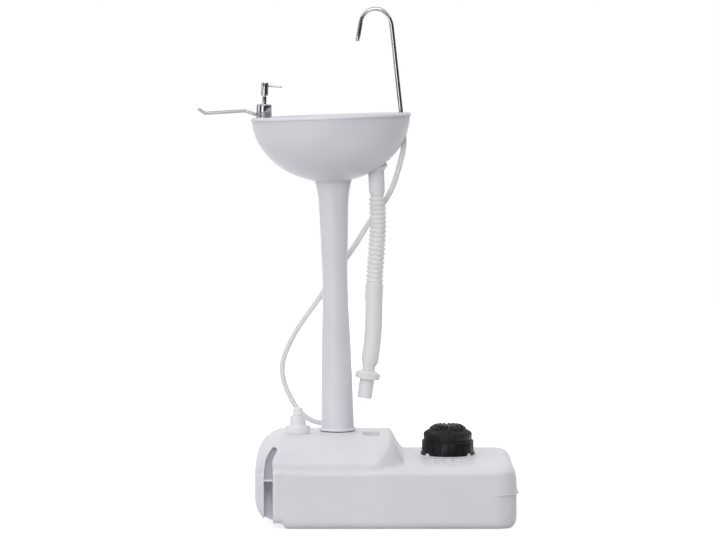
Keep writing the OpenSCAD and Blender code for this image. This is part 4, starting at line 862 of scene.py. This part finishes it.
def studio():
    floor = Shape().block((-4000, -4000, -40), (4000, 6000, -0.4)).made("studio_floor")
    material, tree, surface = blank("studio_floor_paint")
    surface.inputs["Base Color"].default_value = srgb("C9C9CB")
    surface.inputs["Roughness"].default_value = 0.9
    # What is seen of the floor is white, and near the part its own shade shows through as the shadow
    away = add(tree, "ShaderNodeVectorMath", {0: add(tree, "ShaderNodeTexCoord").outputs["Object"]}, operation="LENGTH")
    clear = add(tree, "ShaderNodeMapRange", {"Value": away.outputs["Value"], "From Min": 0.5, "From Max": 0.8,
                                            "To Min": 0.7, "To Max": 1.0}, interpolation_type="SMOOTHSTEP")
    white = add(tree, "ShaderNodeEmission", {"Color": (1, 1, 1, 1), "Strength": clear.outputs["Result"]})
    both = add(tree, "ShaderNodeAddShader", {0: surface.outputs[0], 1: white.outputs[0]})
    mix = add(tree, "ShaderNodeMixShader", {"Fac": direct_view(tree), 1: surface.outputs[0], 2: both.outputs[0]})
    tree.links.new(mix.outputs[0], tree.nodes["Material Output"].inputs["Surface"])
    floor.data.materials.append(material)

    # Grey cloth round the camera's side and over the floor before the paper; it gives chrome its dark stripes
    cloth = (Shape().block((-4600, -6900, 0), (4600, -6850, 4500)).block((-4650, -6850, 0), (-4600, 2600, 3600))
             .block((4600, -6850, 0), (4650, 2600, 3600)).block((-4600, -6850, -0.3), (4600, -1500, 2))
             .made("studio_cloth"))
    cloth.visible_camera = False
    felt, _, pile = blank("studio_cloth_felt")
    pile.inputs["Base Color"].default_value = srgb("6E6E72")
    pile.inputs["Roughness"].default_value = 0.95
    cloth.data.materials.append(felt)

    world = bpy.data.worlds.new("studio")
    bpy.context.scene.world = world
    world.use_nodes = True
    tree = world.node_tree
    way = add(tree, "ShaderNodeTexCoord").outputs["Generated"]
    side = add(tree, "ShaderNodeVectorMath", {0: way, 1: (-0.45, 0.35, 0.8)}, operation="DOT_PRODUCT")
    level = add(tree, "ShaderNodeMapRange", {"Value": side.outputs["Value"], "From Min": -0.7, "From Max": 0.8,
                                            "To Min": 0.14, "To Max": 0.88}, interpolation_type="SMOOTHSTEP")
    lit = add(tree, "ShaderNodeBackground", {"Color": (1, 1, 1, 1), "Strength": level.outputs["Result"]})
    plain = add(tree, "ShaderNodeBackground", {"Color": (1, 1, 1, 1), "Strength": 1.0})
    mix = add(tree, "ShaderNodeMixShader", {"Fac": direct_view(tree), 1: lit.outputs[0], 2: plain.outputs[0]})
    tree.links.new(mix.outputs[0], tree.nodes["World Output"].inputs["Surface"])

    aim = (-0.05, 0, 0.45)
    for name, place, size, power in (
            ("key_lamp", (-0.2, -3.8, 2.6), 1.8, 52),
            ("low_lamp", (-1.8, -3.8, 0.6), 1.2, 19.5),
            ("left_lamp", (-3.2, -0.4, 1.4), 1.8, 13)):
        data = bpy.data.lights.new(name, "AREA")
        data.shape = "SQUARE"
        data.size = size
        data.energy = power
        lamp = bpy.data.objects.new(name, data)
        lamp.location = place
        lamp.rotation_euler = (Vector(aim) - Vector(place)).to_track_quat("-Z", "Y").to_euler()
        bpy.context.scene.collection.objects.link(lamp)


def dress_frame():
    """Materials for the CAD's own solids, by what each is made of."""
    groups = {
        hdpe: ("column_sleeve", "pump_cylinder", "intake_strainer", "outlet_port"),
        polypropylene: ("outlet_elbow", "tank_hose_nut", "tap_hose_nut", "soap_locknut", "drain_body"),
        milky_pvc: ("riser_tube", "intake_tube", "soap_bottle", "soap_dip_tube"),
        nitrile: ("fill_gasket", "elbow_gasket", "pump_gasket", "pump_piston", "piston_seal", "intake_valve",
                  "drain_seal", "drain_lower_seal", "tap_oring", "tap_washer", "soap_piston"),
        chrome: ("drain_grid", "drain_screw", "tap_shank", "tap_locknut", "soap_stem"),
        drawn_steel: ("pump_rod",),
    }
    for material, names in groups.items():
        for name in names:
            nodes[name].data.materials.clear()
            nodes[name].data.materials.append(material)


set_camera()
hose_end()
waste_hose()
supply_hose()
tank()
filler_cap()
pump()
spring("pump_spring", PUMP, 17, 1.3, 6, 5.2, 53.7)
spring("soap_spring", SOAP, 4.4, 0.6, 5, -19.9, 1.3)
column()
basin()
waste_fittings()
tap()
soap_dispenser()
towel_bar()
dress_frame()
studio()
bpy.context.scene.view_settings.view_transform = "Standard"
